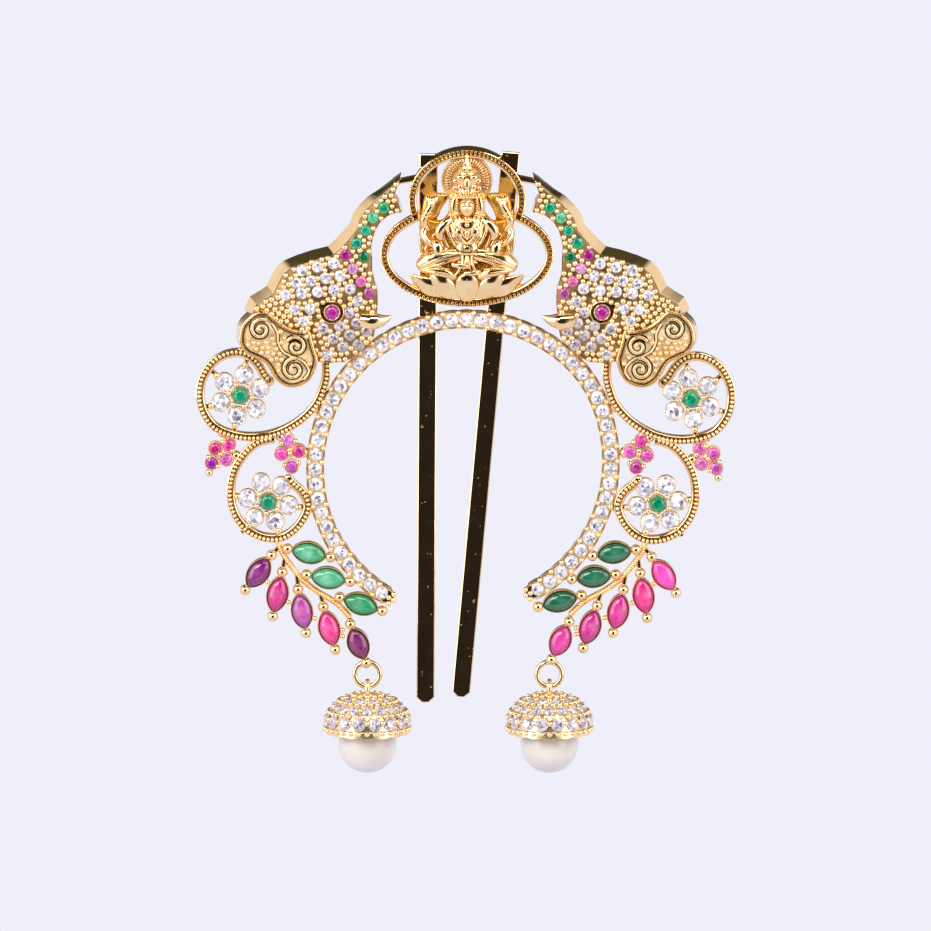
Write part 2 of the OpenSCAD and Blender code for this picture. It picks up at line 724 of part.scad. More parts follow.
// A hollow dome on a plain band, with a seat for each stone
module cap_shell() {
    outer = [for (i = [0 : dome_steps]) let (h = cap_h * sin(90 * i / dome_steps)) [dome_r(h), h]];
    inner_h = cap_h - cap_wall;
    inner = [
        for (i = [dome_steps : -1 : 0])
            let (h = cap_h * sin(90 * i / dome_steps))
            [max(0, dome_r(h) - cap_wall), h * inner_h / cap_h]
    ];
    difference() {
        translate([0, 0, -cap_rim_below])
            rotate_extrude($fn = 64)
                polygon(concat(
                    [[cap_r - cap_wall, -cap_band_h], [cap_r, -cap_band_h]],
                    outer, [[0, cap_h], [0, inner_h]], inner
                ));
        cap_seats();
    }
}

// Each stone of the cap's lowest row looks out square to the dome
module on_cap_row() {
    h = cap_h * sin(cap_stone_angle);
    for (i = [0 : cap_stone_count - 1])
        rotate([0, 0, 360 * (i + 0.5) / cap_stone_count])
            translate([dome_r(h), 0, h - cap_rim_below])
                rotate([0, 90 - cap_stone_angle, 0])
                    children();
}

// Seats are drilled right through the dome's wall
module cap_seats() {
    on_cap_row()
        translate([0, 0, -cap_seat_reach])
            cylinder(d = cap_stone_d + 2 * stone_gap, h = 2 * cap_seat_reach, $fn = fine);
}

module cap(at) {
    color(gold)
        at_drop(at) {
            cap_shell();
            translate([0, 0, -loop_below]) rotate([0, 90, 0]) wire_ring(loop_r);
            translate([0, 0, -cap_top_below - 0.1]) cylinder(d = collar_d, h = collar_h, $fn = fine);
            translate([0, 0, -cap_rim_below - peg_below])
                cylinder(d = peg_d, h = peg_below + cap_h - cap_wall / 2, $fn = fine);
        }
}

module cap_stones(at) {
    color("ghostwhite") at_drop(at) on_cap_row() round_stone(cap_stone_d);
}

module pearl(at) {
    centre_below = cap_rim_below + cap_band_h + pearl_below_rim;
    color("ivory")
        at_drop(at)
            difference() {
                translate([0, 0, -centre_below]) sphere(d = pearl_d, $fn = 64);
                translate([0, 0, -cap_rim_below - peg_below - 0.1])
                    cylinder(d = peg_d + 2 * stone_gap, h = pearl_d, $fn = fine);
            }
}

module head_stones() {
    color("ghostwhite") round_stones(head_spots, head_stone_d, head_t);
}

module trunk_green_stones() {
    color("mediumseagreen") round_stones(trunk_greens, colour_stone_d, head_t);
}

module trunk_pink_stones() {
    color("hotpink") round_stones(trunk_pinks, colour_stone_d, head_t);
}

module eye_stone() {
    color("mediumvioletred") round_stones([eye_at], head_stone_d, head_t + eye_rise);
}

module flower_centre(f) {
    color("seagreen") round_stones([[f[0], f[1]]], centre_stone_d, frame_t + cup_step);
}

module flower_petals(f) {
    color("ghostwhite") round_stones(petal_spots(f), petal_stone_d, frame_t - cup_step);
}

module cluster_stones(spots) {
    color("palevioletred") round_stones(spots, colour_stone_d, frame_t - cup_step);
}

frame();
prong(left_prong_line);  // left_prong
prong(right_prong_line);  // right_prong
color("ghostwhite") round_stones(ring_spots, ring_stone_d, frame_t);  // ring_stones
head_stones();  // left_head_stones
mirrored() head_stones();  // right_head_stones
trunk_green_stones();  // left_trunk_greens
mirrored() trunk_green_stones();  // right_trunk_greens
trunk_pink_stones();  // left_trunk_pinks
mirrored() trunk_pink_stones();  // right_trunk_pinks
eye_stone();  // left_eye
mirrored() eye_stone();  // right_eye
flower_centre(upper_flower);  // left_upper_flower_centre
on_right_branch() flower_centre(upper_flower);  // right_upper_flower_centre
flower_centre(lower_flower);  // left_lower_flower_centre
on_right_branch() flower_centre(lower_flower);  // right_lower_flower_centre
flower_petals(upper_flower);  // left_upper_flower_petals
on_right_branch() flower_petals(upper_flower);  // right_upper_flower_petals
flower_petals(lower_flower);  // left_lower_flower_petals
on_right_branch() flower_petals(lower_flower);  // right_lower_flower_petals
cluster_stones(outer_cluster);  // left_outer_cluster
on_right_branch() cluster_stones(outer_cluster);  // right_outer_cluster
cluster_stones(inner_cluster);  // left_inner_cluster
on_right_branch() cluster_stones(inner_cluster);  // right_inner_cluster
for (i = [0 : 2]) {
    leaf_stone(green_leaves[i], "seagreen");
    on_right_branch() leaf_stone(green_leaves[i], "seagreen");
}
for (i = [0 : 4]) {
    leaf_stone(red_leaves[i], "mediumvioletred");
    on_right_branch() leaf_stone(red_leaves[i], "mediumvioletred");
}
cap(hang_left);  // left_cap
cap(hang_right);  // right_cap
cap_stones(hang_left);  // left_cap_stones
cap_stones(hang_right);  // right_cap_stones
pearl(hang_left);  // left_pearl
pearl(hang_right);  // right_pearl
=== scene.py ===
# %% [markdown]
# # Dressing a bun pin
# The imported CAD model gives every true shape, size and place. This lesson makes the surfaces that
# a jeweller would finish on it: beaded wires, bezels, prong beads, cut stones, pearls and a cast
# figure. All shapes are worked out with numpy in the drawing's own millimetres.

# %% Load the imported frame
import bpy
import numpy as np
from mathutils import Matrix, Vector


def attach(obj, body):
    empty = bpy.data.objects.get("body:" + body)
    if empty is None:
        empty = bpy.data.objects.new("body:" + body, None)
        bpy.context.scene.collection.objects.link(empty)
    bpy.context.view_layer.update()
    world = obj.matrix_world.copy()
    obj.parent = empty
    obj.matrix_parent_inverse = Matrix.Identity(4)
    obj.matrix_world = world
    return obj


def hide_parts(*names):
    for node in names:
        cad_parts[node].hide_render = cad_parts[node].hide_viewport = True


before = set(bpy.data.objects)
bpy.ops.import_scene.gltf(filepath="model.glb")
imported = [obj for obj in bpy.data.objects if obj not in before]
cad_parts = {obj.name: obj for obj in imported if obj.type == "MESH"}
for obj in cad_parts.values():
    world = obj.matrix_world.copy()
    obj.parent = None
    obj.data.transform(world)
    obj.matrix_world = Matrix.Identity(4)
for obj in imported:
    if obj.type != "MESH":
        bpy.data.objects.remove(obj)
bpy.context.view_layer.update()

# %% [markdown]
# ## The drawing's coordinates
# The pin was drawn face on. A point has x to the right, z up, and a depth that counts forward from
# the frame's back face, 0.5 mm in front of the origin. The scrolls and leaves on the right are the
# left ones mirrored and bent inwards by three degrees, and the right head is a plain mirror image.
# Each piece is therefore made once, as whole arrays, and moved by one of three functions.

# %% Points, mirror and bend
MM = 0.001
BACK_FACE = 0.5


def in_place(points):
    """Points of x, height and depth in millimetres, as x, y, z in metres."""
    x, z, w = np.moveaxis(np.asarray(points, float), -1, 0)
    return np.stack([x, -BACK_FACE - w, z], -1) * MM


def mirrored(points):
    """The same points on the pin's other side: x changes its sign."""
    return np.asarray(points, float) * [-1, 1, 1]


BEND_AT = np.array([17.3, -2.1])
BEND = np.radians(3)


def on_right_branch(points):
    """Left points mirrored, then turned clockwise by three degrees about the bend's centre."""
    p = mirrored(points)
    x, z = p[..., 0] - BEND_AT[0], p[..., 1] - BEND_AT[1]
    p[..., 0] = BEND_AT[0] + x * np.cos(BEND) + z * np.sin(BEND)
    p[..., 1] = BEND_AT[1] - x * np.sin(BEND) + z * np.cos(BEND)
    return p


def same(points):
    """The left side's points stay as they are drawn."""
    return np.asarray(points, float)


BRANCHES = {"left": same, "right": on_right_branch}
SIDES = {"left": same, "right": mirrored}
for side, change in BRANCHES.items():
    print(f"the point 20 mm out and 20 mm down on the {side}:", in_place(change([-20, -20, 0])).round(4))

# %% [markdown]
# ## Skins
# A skin is an array of points with arrays of faces. A shape is a grid of points: one parameter
# runs along it and the other runs round it. Its ends are closed by a flat face or by a tip, and
# copies of a small shape are made by adding whole arrays, so no vertex is handled by itself. Faces
# must point outwards. The volume that a closed skin encloses is worked out from its faces, and if
# it comes out negative, as after a mirror, all the faces are turned round.

# %% Skins over grids
def skin_of_grid(grid, loop=False, tips=None):
    """Faces over a grid of points, joined round its second parameter, and along the first if loop.
    Open ends get one flat face each, or triangles to the two points in tips."""
    n, m = grid.shape[:2]
    i, j = np.meshgrid(np.arange(n if loop else n - 1), np.arange(m), indexing="ij")
    ahead, beside = (i + 1) % n, (j + 1) % m
    quads = np.stack([i * m + j, ahead * m + j, ahead * m + beside, i * m + beside], -1)
    points, faces = grid.reshape(-1, 3), [quads.reshape(-1, 4)]
    if tips is not None:
        points = np.vstack([points, tips])
        k = np.arange(m)
        first, last = np.full(m, n * m), np.full(m, n * m + 1)
        faces.append(np.stack([first, k, (k + 1) % m], -1))
        faces.append(np.stack([last, (n - 1) * m + (k + 1) % m, (n - 1) * m + k], -1))
    elif not loop:
        faces += [np.arange(m)[None], ((n - 1) * m + np.arange(m))[None, ::-1]]
    return points, faces


def enclosed(points, faces):
    """The volume inside a closed skin: each face cut in triangles, a sixth of corner products."""
    total = 0.0
    for f in faces:
        for k in range(1, f.shape[1] - 1):
            a, b, c = points[f[:, 0]], points[f[:, k]], points[f[:, k + 1]]
            total += np.einsum("ij,ij->i", a, np.cross(b, c)).sum() / 6
    return total


def facing_out(skin):
    """The skin with all its faces turned round if it is inside out."""
    points, faces = skin
    return (points, faces) if enclosed(points, faces) > 0 else (points, [f[:, ::-1] for f in faces])


def together(*skins):
    """Several skins as one, each facing out, with their faces counted on."""
    start, points, faces = 0, [], []
    for p, f in map(facing_out, skins):
        points.append(p)
        faces += [a + start for a in f]
        start += len(p)
    return np.vstack(points), faces


def copies(skin, places, sizes=1.0, turns=None):
    """One copy of a skin at each place: its points times the size, turned in the drawing's plane.
    There is one size for all, one for each copy, or three for each copy."""
    shape, faces = skin
    places = np.atleast_2d(np.asarray(places, float))
    scale = np.asarray(sizes, float)
    scale = scale[:, None] if scale.ndim == 1 else scale
    p = shape[None] * (scale * np.ones((len(places), 3)))[:, None]
    if turns is not None:
        c, s = np.cos(turns)[:, None], np.sin(turns)[:, None]
        p = np.stack([p[..., 0] * c - p[..., 1] * s, p[..., 0] * s + p[..., 1] * c, p[..., 2]], -1)
    p = p + places[:, None]
    step = np.arange(len(places))[:, None, None] * len(shape)
    return p.reshape(-1, 3), [(f[None] + step).reshape(-1, f.shape[1]) for f in faces]


def moved(skin, change):
    """A skin whose points are put through a function."""
    return change(skin[0]), skin[1]


def shifted(skin, by):
    """A skin moved by x, height and depth."""
    return skin[0] + by, skin[1]


def with_depth(flat, depth):
    """Points of x and height given a depth, one for all or one for each."""
    return np.column_stack([flat, np.broadcast_to(depth, len(flat))])


square = np.array([[-1, -1], [1, -1], [1, 1], [-1, 1]]) / 2
box = skin_of_grid(np.array([with_depth(square, level) for level in (0.0, 1.0)]))
print("a box of 1 mm encloses", enclosed(*facing_out(box)), "cubic mm")

# %% [markdown]
# ## From a skin to an object
# An object could be modelled by hand or with modifiers. Here from_pydata takes a skin's points and
# faces, and edges sharper than an angle stay crisp while the rest is shaded smooth. A tint is kept
# in the mesh as an attribute that a finish can read. Each piece rides on the body that carries it
# and may stand in for the plain CAD nodes that it covers.

# %% Make an object
def piece(name, skin, material, body="pin", stands_for=(), sharp=40, tint=None):
    """A skin in the drawing's millimetres made a mesh object that rides on a body of the pin. A tint
    is a colour for each point, or else for each face."""
    points, faces = facing_out((in_place(skin[0]), skin[1]))
    mesh = bpy.data.meshes.new(name)
    mesh.from_pydata(points, [], [row for f in faces for row in f.tolist()])
    mesh.polygons.foreach_set("use_smooth", np.full(len(mesh.polygons), sharp > 0))
    mesh.update()
    if sharp > 0:
        mesh.set_sharp_from_angle(angle=np.radians(sharp))
    if tint is not None:
        domain = "POINT" if len(tint) == len(points) else "FACE"
        data = mesh.attributes.new("tint", "FLOAT_COLOR", domain).data
        data.foreach_set("color", np.column_stack([tint, np.ones(len(tint))]).astype(np.float32).ravel())
    mesh.materials.append(material)
    made = bpy.data.objects.new(name, mesh)
    bpy.context.scene.collection.objects.link(made)
    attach(made, body)
    if stands_for:
        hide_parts(*stands_for)
    print(f"{name}: {len(points)} points, {len(mesh.polygons)} faces")


# %% [markdown]
# ## Nodes for finishes
# A finish could be painted on an image, but this one is worked out at each point of the surface
# from its place on the object. A few small functions add the nodes: soft noise, a ramp of colours,
# a number carried from one range to another, and two colours mixed.

# %% Node helpers
def ramp(tree, stops):
    """A ramp of colours: each stop is a place from 0 to 1 and a colour."""
    node = tree.nodes.new("ShaderNodeValToRGB")
    while len(node.color_ramp.elements) < len(stops):
        node.color_ramp.elements.new(0.5)
    for element, (at, colour) in zip(node.color_ramp.elements, stops):
        element.position, element.color = at, (*colour, 1)
    return node


def noise(tree, coords, scale, detail=2.0, stretch=None):
    """Soft noise from 0 to 1 with scale clouds in a metre, drawn out along an axis by stretch."""
    node = tree.nodes.new("ShaderNodeTexNoise")
    node.inputs["Scale"].default_value = scale
    node.inputs["Detail"].default_value = detail
    source = coords
    if stretch:
        mapping = tree.nodes.new("ShaderNodeMapping")
        mapping.inputs["Scale"].default_value = stretch
        tree.links.new(coords, mapping.inputs["Vector"])
        source = mapping.outputs["Vector"]
    tree.links.new(source, node.inputs["Vector"])
    return node.outputs["Fac"]


def mapped(tree, value, low, high, to_low, to_high):
    """A value carried smoothly from low..high onto to_low..to_high, and held beyond them."""
    node = tree.nodes.new("ShaderNodeMapRange")
    node.interpolation_type = "SMOOTHSTEP"
    for key, number in (("From Min", low), ("From Max", high), ("To Min", to_low), ("To Max", to_high)):
        node.inputs[key].default_value = number
    tree.links.new(value, node.inputs["Value"])
    return node.outputs["Result"]


def math_node(tree, kind, *values):
    """A Math node of this kind; each value is a number or another node's output."""
    node = tree.nodes.new("ShaderNodeMath")
    node.operation = kind
    for socket, value in zip(node.inputs, values):
        if hasattr(value, "links"):
            tree.links.new(value, socket)
        else:
            socket.default_value = value
    return node.outputs["Value"]


def mixed(tree, share, a, b, kind="MIX"):
    """Two colours mixed by a share; each of the three is a plain value or another node's output."""
    node = tree.nodes.new("ShaderNodeMix")
    node.data_type, node.blend_type = "RGBA", kind
    for name, value in (("Factor", share), ("A", a), ("B", b)):
        if hasattr(value, "links"):
            tree.links.new(value, node.inputs[name])
        else:
            node.inputs[name].default_value = value if name == "Factor" else (*value, 1)
    return node.outputs["Result"]


print("helpers:", ", ".join(f.__name__ for f in (ramp, noise, mapped, math_node, mixed)))

# %% [markdown]
# ## Gold
# The pin is plated and polished to a mirror, so its look is mostly what it reflects. The finish
# adds what keeps it from looking like a computer's: a slow change of tone where the plating is
# thicker, patches that are less bright, and a grain of fine scratches and cast pits. One recipe
# gives seven finishes: polished wires and rims, dull cast cups, bright beads, a brown painted shade
# for the bed under the heads' stones, a deep yellow painted reflection behind the figure, a dark
# painted shade for recesses, and the prongs' mirror.

# %% Gold finishes
def gold_finish(name, light, deep, rough, grain, depth, stretch=None, metal=1.0):
    """Metal whose colour runs from light to deep in soft clouds and whose normal has a fine grain of
    so many pits in a metre, depth metres deep. Its roughness wanders about rough."""
    made = bpy.data.materials.new(name)
    made.use_nodes = True
    tree = made.node_tree
    shader = tree.nodes["Principled BSDF"]
    shader.inputs["Metallic"].default_value = metal
    coords = tree.nodes.new("ShaderNodeTexCoord").outputs["Object"]
    tone = ramp(tree, [(0.35, deep), (0.65, light)])
    tree.links.new(noise(tree, coords, 420), tone.inputs["Fac"])
    tree.links.new(tone.outputs["Color"], shader.inputs["Base Color"])
    patches = mapped(tree, noise(tree, coords, 900, 3), 0.35, 0.7, rough * 0.7, rough * 1.5)
    tree.links.new(patches, shader.inputs["Roughness"])
    bump = tree.nodes.new("ShaderNodeBump")
    bump.inputs["Strength"].default_value = 1
    bump.inputs["Distance"].default_value = depth
    tree.links.new(noise(tree, coords, grain, 3, stretch), bump.inputs["Height"])
    tree.links.new(bump.outputs["Normal"], shader.inputs["Normal"])
    return made


polished_gold = gold_finish("polished_gold", (0.97, 0.73, 0.42), (0.92, 0.64, 0.32), 0.09, 1500, 3e-6)
cast_gold = gold_finish("cast_gold", (1.0, 0.76, 0.44), (0.92, 0.64, 0.32), 0.45, 2600, 1.2e-5, metal=0.7)
bead_gold = gold_finish("bead_gold", (1.0, 0.80, 0.50), (0.95, 0.70, 0.38), 0.2, 2600, 4e-6, metal=0.85)
# Painted shade: the bed between the heads' stones is dark brown for the shade it lies in
painted_shade_bed_gold = gold_finish("painted_shade_bed_gold", (0.40, 0.24, 0.09), (0.22, 0.13, 0.045), 0.4, 2600, 1.2e-5, metal=0.8)
# Painted reflection: a deep yellow for the gold that the plates behind the figure mirror
painted_reflection_gold = gold_finish("painted_reflection_gold", (1.0, 0.60, 0.11), (0.95, 0.48, 0.06), 0.3, 2600, 1.5e-5, metal=0.75)
# Painted shade: a dark gold for strips laid in the shade of channel floors, hollows and creases
painted_shade_gold = gold_finish("painted_shade_gold", (0.30, 0.20, 0.09), (0.13, 0.08, 0.035), 0.3, 2600, 6e-6)
# The prongs were polished lengthwise, so their grain is drawn out along z
LENGTHWISE = (0.6, 1, 0.12)
prong_gold = gold_finish("prong_gold", (0.86, 0.64, 0.38), (0.72, 0.50, 0.27), 0.06, 2200, 2e-6, LENGTHWISE)
golds = (polished_gold, cast_gold, bead_gold, painted_shade_bed_gold, painted_reflection_gold, painted_shade_gold, prong_gold)
print("gold finishes:", ", ".join(made.name for made in golds))

# %% [markdown]
# ## Yellow on the prongs
# The prongs were soldered on behind the arch. Near their upper ends they are yellow and rough in
# noisy patches, and yellow specks sit lower down. A band of heights is cut up by noise for the
# patches, and the peaks of a finer noise are the specks. What already feeds the roughness and the
# colour is taken up and altered there, so the rest of the prong keeps its mirror.

# %% Yellow patches and specks
PRONG_YELLOW = (1.0, 0.58, 0.12)
tree = prong_gold.node_tree
shader = tree.nodes["Principled BSDF"]
spots = tree.nodes.new("ShaderNodeTexCoord").outputs["Object"]
height = tree.nodes.new("ShaderNodeSeparateXYZ")
tree.links.new(spots, height.inputs["Vector"])
above = mapped(tree, height.outputs["Z"], 0.003, 0.009, 0, 1)
below = mapped(tree, height.outputs["Z"], 0.0165, 0.0176, 1, 0)
near_top = math_node(tree, "MULTIPLY", above, below)
ran = math_node(tree, "MULTIPLY", near_top, mapped(tree, noise(tree, spots, 640, 4), 0.49, 0.55, 0, 1))
specks = mapped(tree, noise(tree, spots, 1900, 1), 0.70, 0.74, 0, 1)
# Yellow patches near the upper ends and yellow specks lower down, mixed into the colour
yellowed = math_node(tree, "MAXIMUM", ran, specks)
smooth = shader.inputs["Roughness"].links[0].from_socket
clean = shader.inputs["Base Color"].links[0].from_socket
dull = math_node(tree, "SUBTRACT", 1.0, math_node(tree, "MULTIPLY", yellowed, 0.4))
tree.links.new(math_node(tree, "MULTIPLY_ADD", ran, 0.36, smooth), shader.inputs["Roughness"])
tree.links.new(mixed(tree, yellowed, clean, PRONG_YELLOW), shader.inputs["Base Color"])
tree.links.new(dull, shader.inputs["Metallic"])
print("nodes in the prongs' finish:", len(tree.nodes))

# %% [markdown]
# ## Stones
# Cut stones flash because each facet shows another part of the room. A real brilliant does it by
# bouncing light inside, which takes many rays for a stone of a millimetre. Here every facet
# carries its own brightness as an attribute, the way an engraver would shade it, and a clear coat
# gives it real reflections on top.

# %% Stone finishes
def stone_finish(name, glow, rough=0.06, ior=1.7):
    """Glossy stone whose colour is its tint times a cloud of inner flaws, and that glows a little of
    itself in place of the light that a real stone sends back from inside."""
    made = bpy.data.materials.new(name)
    made.use_nodes = True
    tree = made.node_tree
    shader = tree.nodes["Principled BSDF"]
    shader.inputs["Roughness"].default_value = rough
    shader.inputs["IOR"].default_value = ior
    shader.inputs["Coat Weight"].default_value = 0.6
    shader.inputs["Coat Roughness"].default_value = 0.02
    shader.inputs["Emission Strength"].default_value = glow
    tint = tree.nodes.new("ShaderNodeAttribute")
    tint.attribute_name = "tint"
    coords = tree.nodes.new("ShaderNodeTexCoord").outputs["Object"]
    tone = ramp(tree, [(0.3, (0.78, 0.78, 0.78)), (0.7, (1.12, 1.12, 1.12))])
    tree.links.new(noise(tree, coords, 1700, 2), tone.inputs["Fac"])
    colour = mixed(tree, 1, tint.outputs["Color"], tone.outputs["Color"], "MULTIPLY")
    tree.links.new(colour, shader.inputs["Base Color"])
    tree.links.new(colour, shader.inputs["Emission Color"])
    return made


white_stone = stone_finish("white_stone", 0.16, 0.05, 2.0)
colour_stone = stone_finish("colour_stone", 0.14, 0.08, 1.6)
print("stone finishes:", white_stone.name, colour_stone.name)

# %% [markdown]
# ## A brilliant cut
# A round stone has a flat table, a crown of three rows of facets and a pointed pavilion below. The
# corners lie on rings whose heights keep each kite-shaped facet flat. The table is split into
# eight, because the pavilion's reflections break it up in the same way.

# %% Cut a brilliant
TABLE_R, MIDDLE_R = 0.56, 0.78
CROWN_H, MIDDLE_H, PAVILION_H = 0.36, 0.635 * 0.36, 0.84


def level_ring(radius, degrees, height):
    """Points at angles on a level circle."""
    a = np.radians(degrees)
    return np.stack([radius * np.cos(a), radius * np.sin(a), np.full(len(a), height)], -1)


def brilliant():
    """A stone of radius 1: rings of eight points round the table and the middle of the crown, a
    girdle of sixteen, and the centres of table and pavilion."""
    eight, sixteen = np.arange(8), np.arange(16)
    points = np.vstack([
        level_ring(TABLE_R, 45 * eight, CROWN_H),
        level_ring(MIDDLE_R, 45 * eight + 22.5, MIDDLE_H),
        level_ring(1.0, 22.5 * sixteen, 0.0),
        [[0, 0, CROWN_H], [0, 0, -PAVILION_H]],
    ])
    table, next_table = eight, (eight + 1) % 8
    middle, middle_before = 8 + eight, 8 + (eight - 1) % 8
    girdle, after, after_that = (16 + (2 * eight + k) % 16 for k in range(3))
    faces = [
        np.stack([np.full(8, 32), table, next_table], -1),
        np.stack([table, middle, next_table], -1),
        np.stack([middle, girdle, after], -1),
        np.stack([middle, after, after_that], -1),
        np.stack([np.full(16, 33), 16 + (sixteen + 1) % 16, 16 + sixteen], -1),
        np.stack([table, middle_before, girdle, middle], -1),
    ]
    return points, faces


BRILLIANT = brilliant()
print("a brilliant has", sum(len(f) for f in BRILLIANT[1]), "faces")

# %% [markdown]
# ## Setting stones
# No two stones on the pin catch the light alike, and each was set at an angle of its own. One
# generator of random numbers turns every stone and gives each facet its brightness between a least
# and a most value for its kind. White stones go from lavender grey to white, and coloured ones
# darken and lighten their own tint.

# %% Stones with a tint on every facet
# The least and the most brightness of table, star, two sorts of girdle, pavilion and kite facets
FACET_RANGES = [(0, 1), (0.1, 1), (0.3, 1), (0.3, 1), (0.2, 0.5), (0.15, 1)]
WARMTH = [0.85, 1.15, 1.2]
chance = np.random.default_rng(12)


def facet_shades(count, low, high):
    """Brightness of each facet of count stones, in the order that copies() keeps them."""
    shades = []
    for f, (least, most) in zip(BRILLIANT[1], FACET_RANGES):
        shades.append((least + (most - least) * chance.random((count, len(f)))).ravel())
    return low + (high - low) * np.concatenate(shades)


def white_tints(values):
    """Lavender grey in the dark facets and plain white in the bright ones."""
    dark, bright = np.array([0.14, 0.12, 0.21]), np.array([0.98, 0.97, 1.0])
    return dark + (bright - dark) * np.clip(values, 0, 1)[:, None]


def stone_of_each(count):
    """Which stone each facet belongs to, in the order that copies() keeps them."""
    return np.concatenate([np.repeat(np.arange(count), len(f)) for f in BRILLIANT[1]])


def stones(name, places, radius, stands_for, change=same, tints=None, shade=1.0):
    """Cut stones at their places, each turned by chance, with a tint on every facet. A shade below
    1, for all or for each stone, darkens white stones, and their blue and green more than their
    red, because a stone in shade mirrors the gold beside it."""
    places = np.atleast_2d(places)
    count = len(places)
    made = copies(BRILLIANT, places, radius, chance.random(count) * np.pi)
    each = stone_of_each(count)
    if tints is None:
        warm = np.broadcast_to(shade, count)[each][:, None] ** WARMTH
        colours = white_tints(facet_shades(count, 0, 1)) * warm
    else:
        colours = np.clip(np.asarray(tints)[each] * facet_shades(count, 0.45, 1.25)[:, None], 0, 1)
    material = white_stone if tints is None else colour_stone
    piece(name, moved(made, change), material, "pin", stands_for, 0, colours)


print("facets take between", min(FACET_RANGES)[0], "and", max(b for _, b in FACET_RANGES), "of their light")

# %% [markdown]
# ## Small shapes used again and again
# Prong beads, grains of a beaded wire and polished balls are all one small ball. A bezel is a
# rounded collar. Both are a profile of radius and height turned about the depth axis.

# %% Ball and collar
def turned(profile, around, solid=True):
    """A profile of radius and height turned about the depth axis, with a tip at each end."""
    angle = 2 * np.pi * np.arange(around) / around
    r, h = np.asarray(profile, float).T
    grid = np.stack([r[:, None] * np.cos(angle), r[:, None] * np.sin(angle), h[:, None] + 0 * angle], -1)
    if not solid:
        return skin_of_grid(grid, loop=True)
    return skin_of_grid(grid, tips=np.array([[0, 0, h[0]], [0, 0, h[-1]]]))


def ball(around, rows):
    """A ball of radius 1: a half circle of cosine and sine turned, with its tips at -1 and 1."""
    a = np.pi * (np.arange(1, rows) / rows - 0.5)
    points, faces = turned(np.stack([np.cos(a), np.sin(a)], -1), around)
    points[-2:] = [[0, 0, -1], [0, 0, 1]]
    return points, faces


GRAIN, BALL = ball(8, 5), ball(28, 14)


def collar(inner, outer, bottom, top):
    """A bezel: a closed ring with a rounded lip, between two radii and two depths."""
    lip = (outer - inner) / 2
    a = np.linspace(0, np.pi, 7)
    arc = np.stack([inner + lip - lip * np.cos(a), top - lip + lip * np.sin(a)], -1)
    return turned(np.vstack([[inner, bottom], arc, [outer, bottom]]), 32, solid=False)


print("a grain has", sum(len(f) for f in GRAIN[1]), "faces")

# %% [markdown]
# ## Curves and profiles carried along them
# Wires and bands are a cross-section carried along a path. At each point the section stands across
# the path, and at a corner it is widened so that the two runs meet in a mitre.

# %% Carry a profile along a path
def cubic_runs(a, b, c, d, steps):
    """Points from each b on to its c: a cubic in the share of the way, which at b runs parallel to
    the line from a to c, and at c parallel to the line from b to d."""
    a, b, c, d = (q[:, None] for q in (a, b, c, d))
    t = (np.arange(steps) / steps)[None, :, None]
    cubic = 2 * b + (c - a) * t + (2 * a - 5 * b + 4 * c - d) * t**2 + (3 * b - a - 3 * c + d) * t**3
    return (0.5 * cubic).reshape(-1, b.shape[-1])


def curve(points, steps):
    """A smooth curve through points, with so many steps from each to the next."""
    p = np.asarray(points, float)
    before, after = np.vstack([p[:1], p[:-2]]), np.vstack([p[2:], p[-1:]])
    return np.vstack([cubic_runs(before, p[:-1], p[1:], after, steps), p[-1:]])


def closed_curve(points, steps):
    """The same curve through points that come round to the first again."""
    p = np.asarray(points, float)
    return cubic_runs(np.roll(p, 1, 0), p, np.roll(p, -1, 0), np.roll(p, -2, 0), steps)


def even(path, step):
    """Points at even distances along a path."""
    length = np.concatenate([[0], np.cumsum(np.linalg.norm(np.diff(path, axis=0), axis=1))])
    at = np.linspace(0, length[-1], max(2, int(round(length[-1] / step)) + 1))
    return np.stack([np.interp(at, length, path[:, k]) for k in range(path.shape[1])], -1)


def across(path, closed=False):
    """The direction to the path's left at each point, lengthened at a corner for the mitre, though
    never to more than 2.5 times."""
    ahead, behind = np.roll(path, -1, 0) - path, path - np.roll(path, 1, 0)
    if not closed:
        ahead[-1], behind[0] = behind[-1], ahead[0]
    a = ahead / np.linalg.norm(ahead, axis=1, keepdims=True)
    b = behind / np.linalg.norm(behind, axis=1, keepdims=True)
    left_a, left_b = a[:, ::-1] * [-1, 1], b[:, ::-1] * [-1, 1]
    mid = left_a + left_b
    mid /= np.linalg.norm(mid, axis=1, keepdims=True)
    return mid / np.maximum((mid * left_a).sum(1, keepdims=True), 0.4)


def carried(path, profile, closed=False, width=1.0):
    """A profile of distance across and depth, carried along a path and widened by width."""
    side = across(path, closed) * (np.asarray(width)[:, None] if np.ndim(width) else width)
    flat = path[:, None] + side[:, None] * profile[None, :, :1]
    depth = np.broadcast_to(profile[None, :, 1:], (*flat.shape[:2], 1))
    return skin_of_grid(np.concatenate([flat, depth], -1), loop=closed)


def both_ways(half):
    """A profile made whole from its right half, from the back face to the middle of the front."""
    half = np.asarray(half, float)
    left = half[::-1] * [-1, 1]
    return np.vstack([half, left[1:] if half[-1, 0] == 0 else left])


print("a wire's profile has", len(both_ways([(0.4, 0), (0.5, 0.1), (0, 1)])), "corners")

# %% [markdown]
# ## The horseshoe ring
# The band is cast with a channel for its stones and two beaded edges. Its edges swell out round
# each stone and draw in between them, where the prong beads are. The half width is therefore a
# cosine along the band, in step with the stones. The ends are round, with four beads each.

# %% Ring
RING_AT, RING_R, PITCH, STONES_A_SIDE = (-0.1, -15.4), 16.6, 5.62, 26
RING_END = (STONES_A_SIDE + 0.4) * PITCH
BEND_STARTS = -11


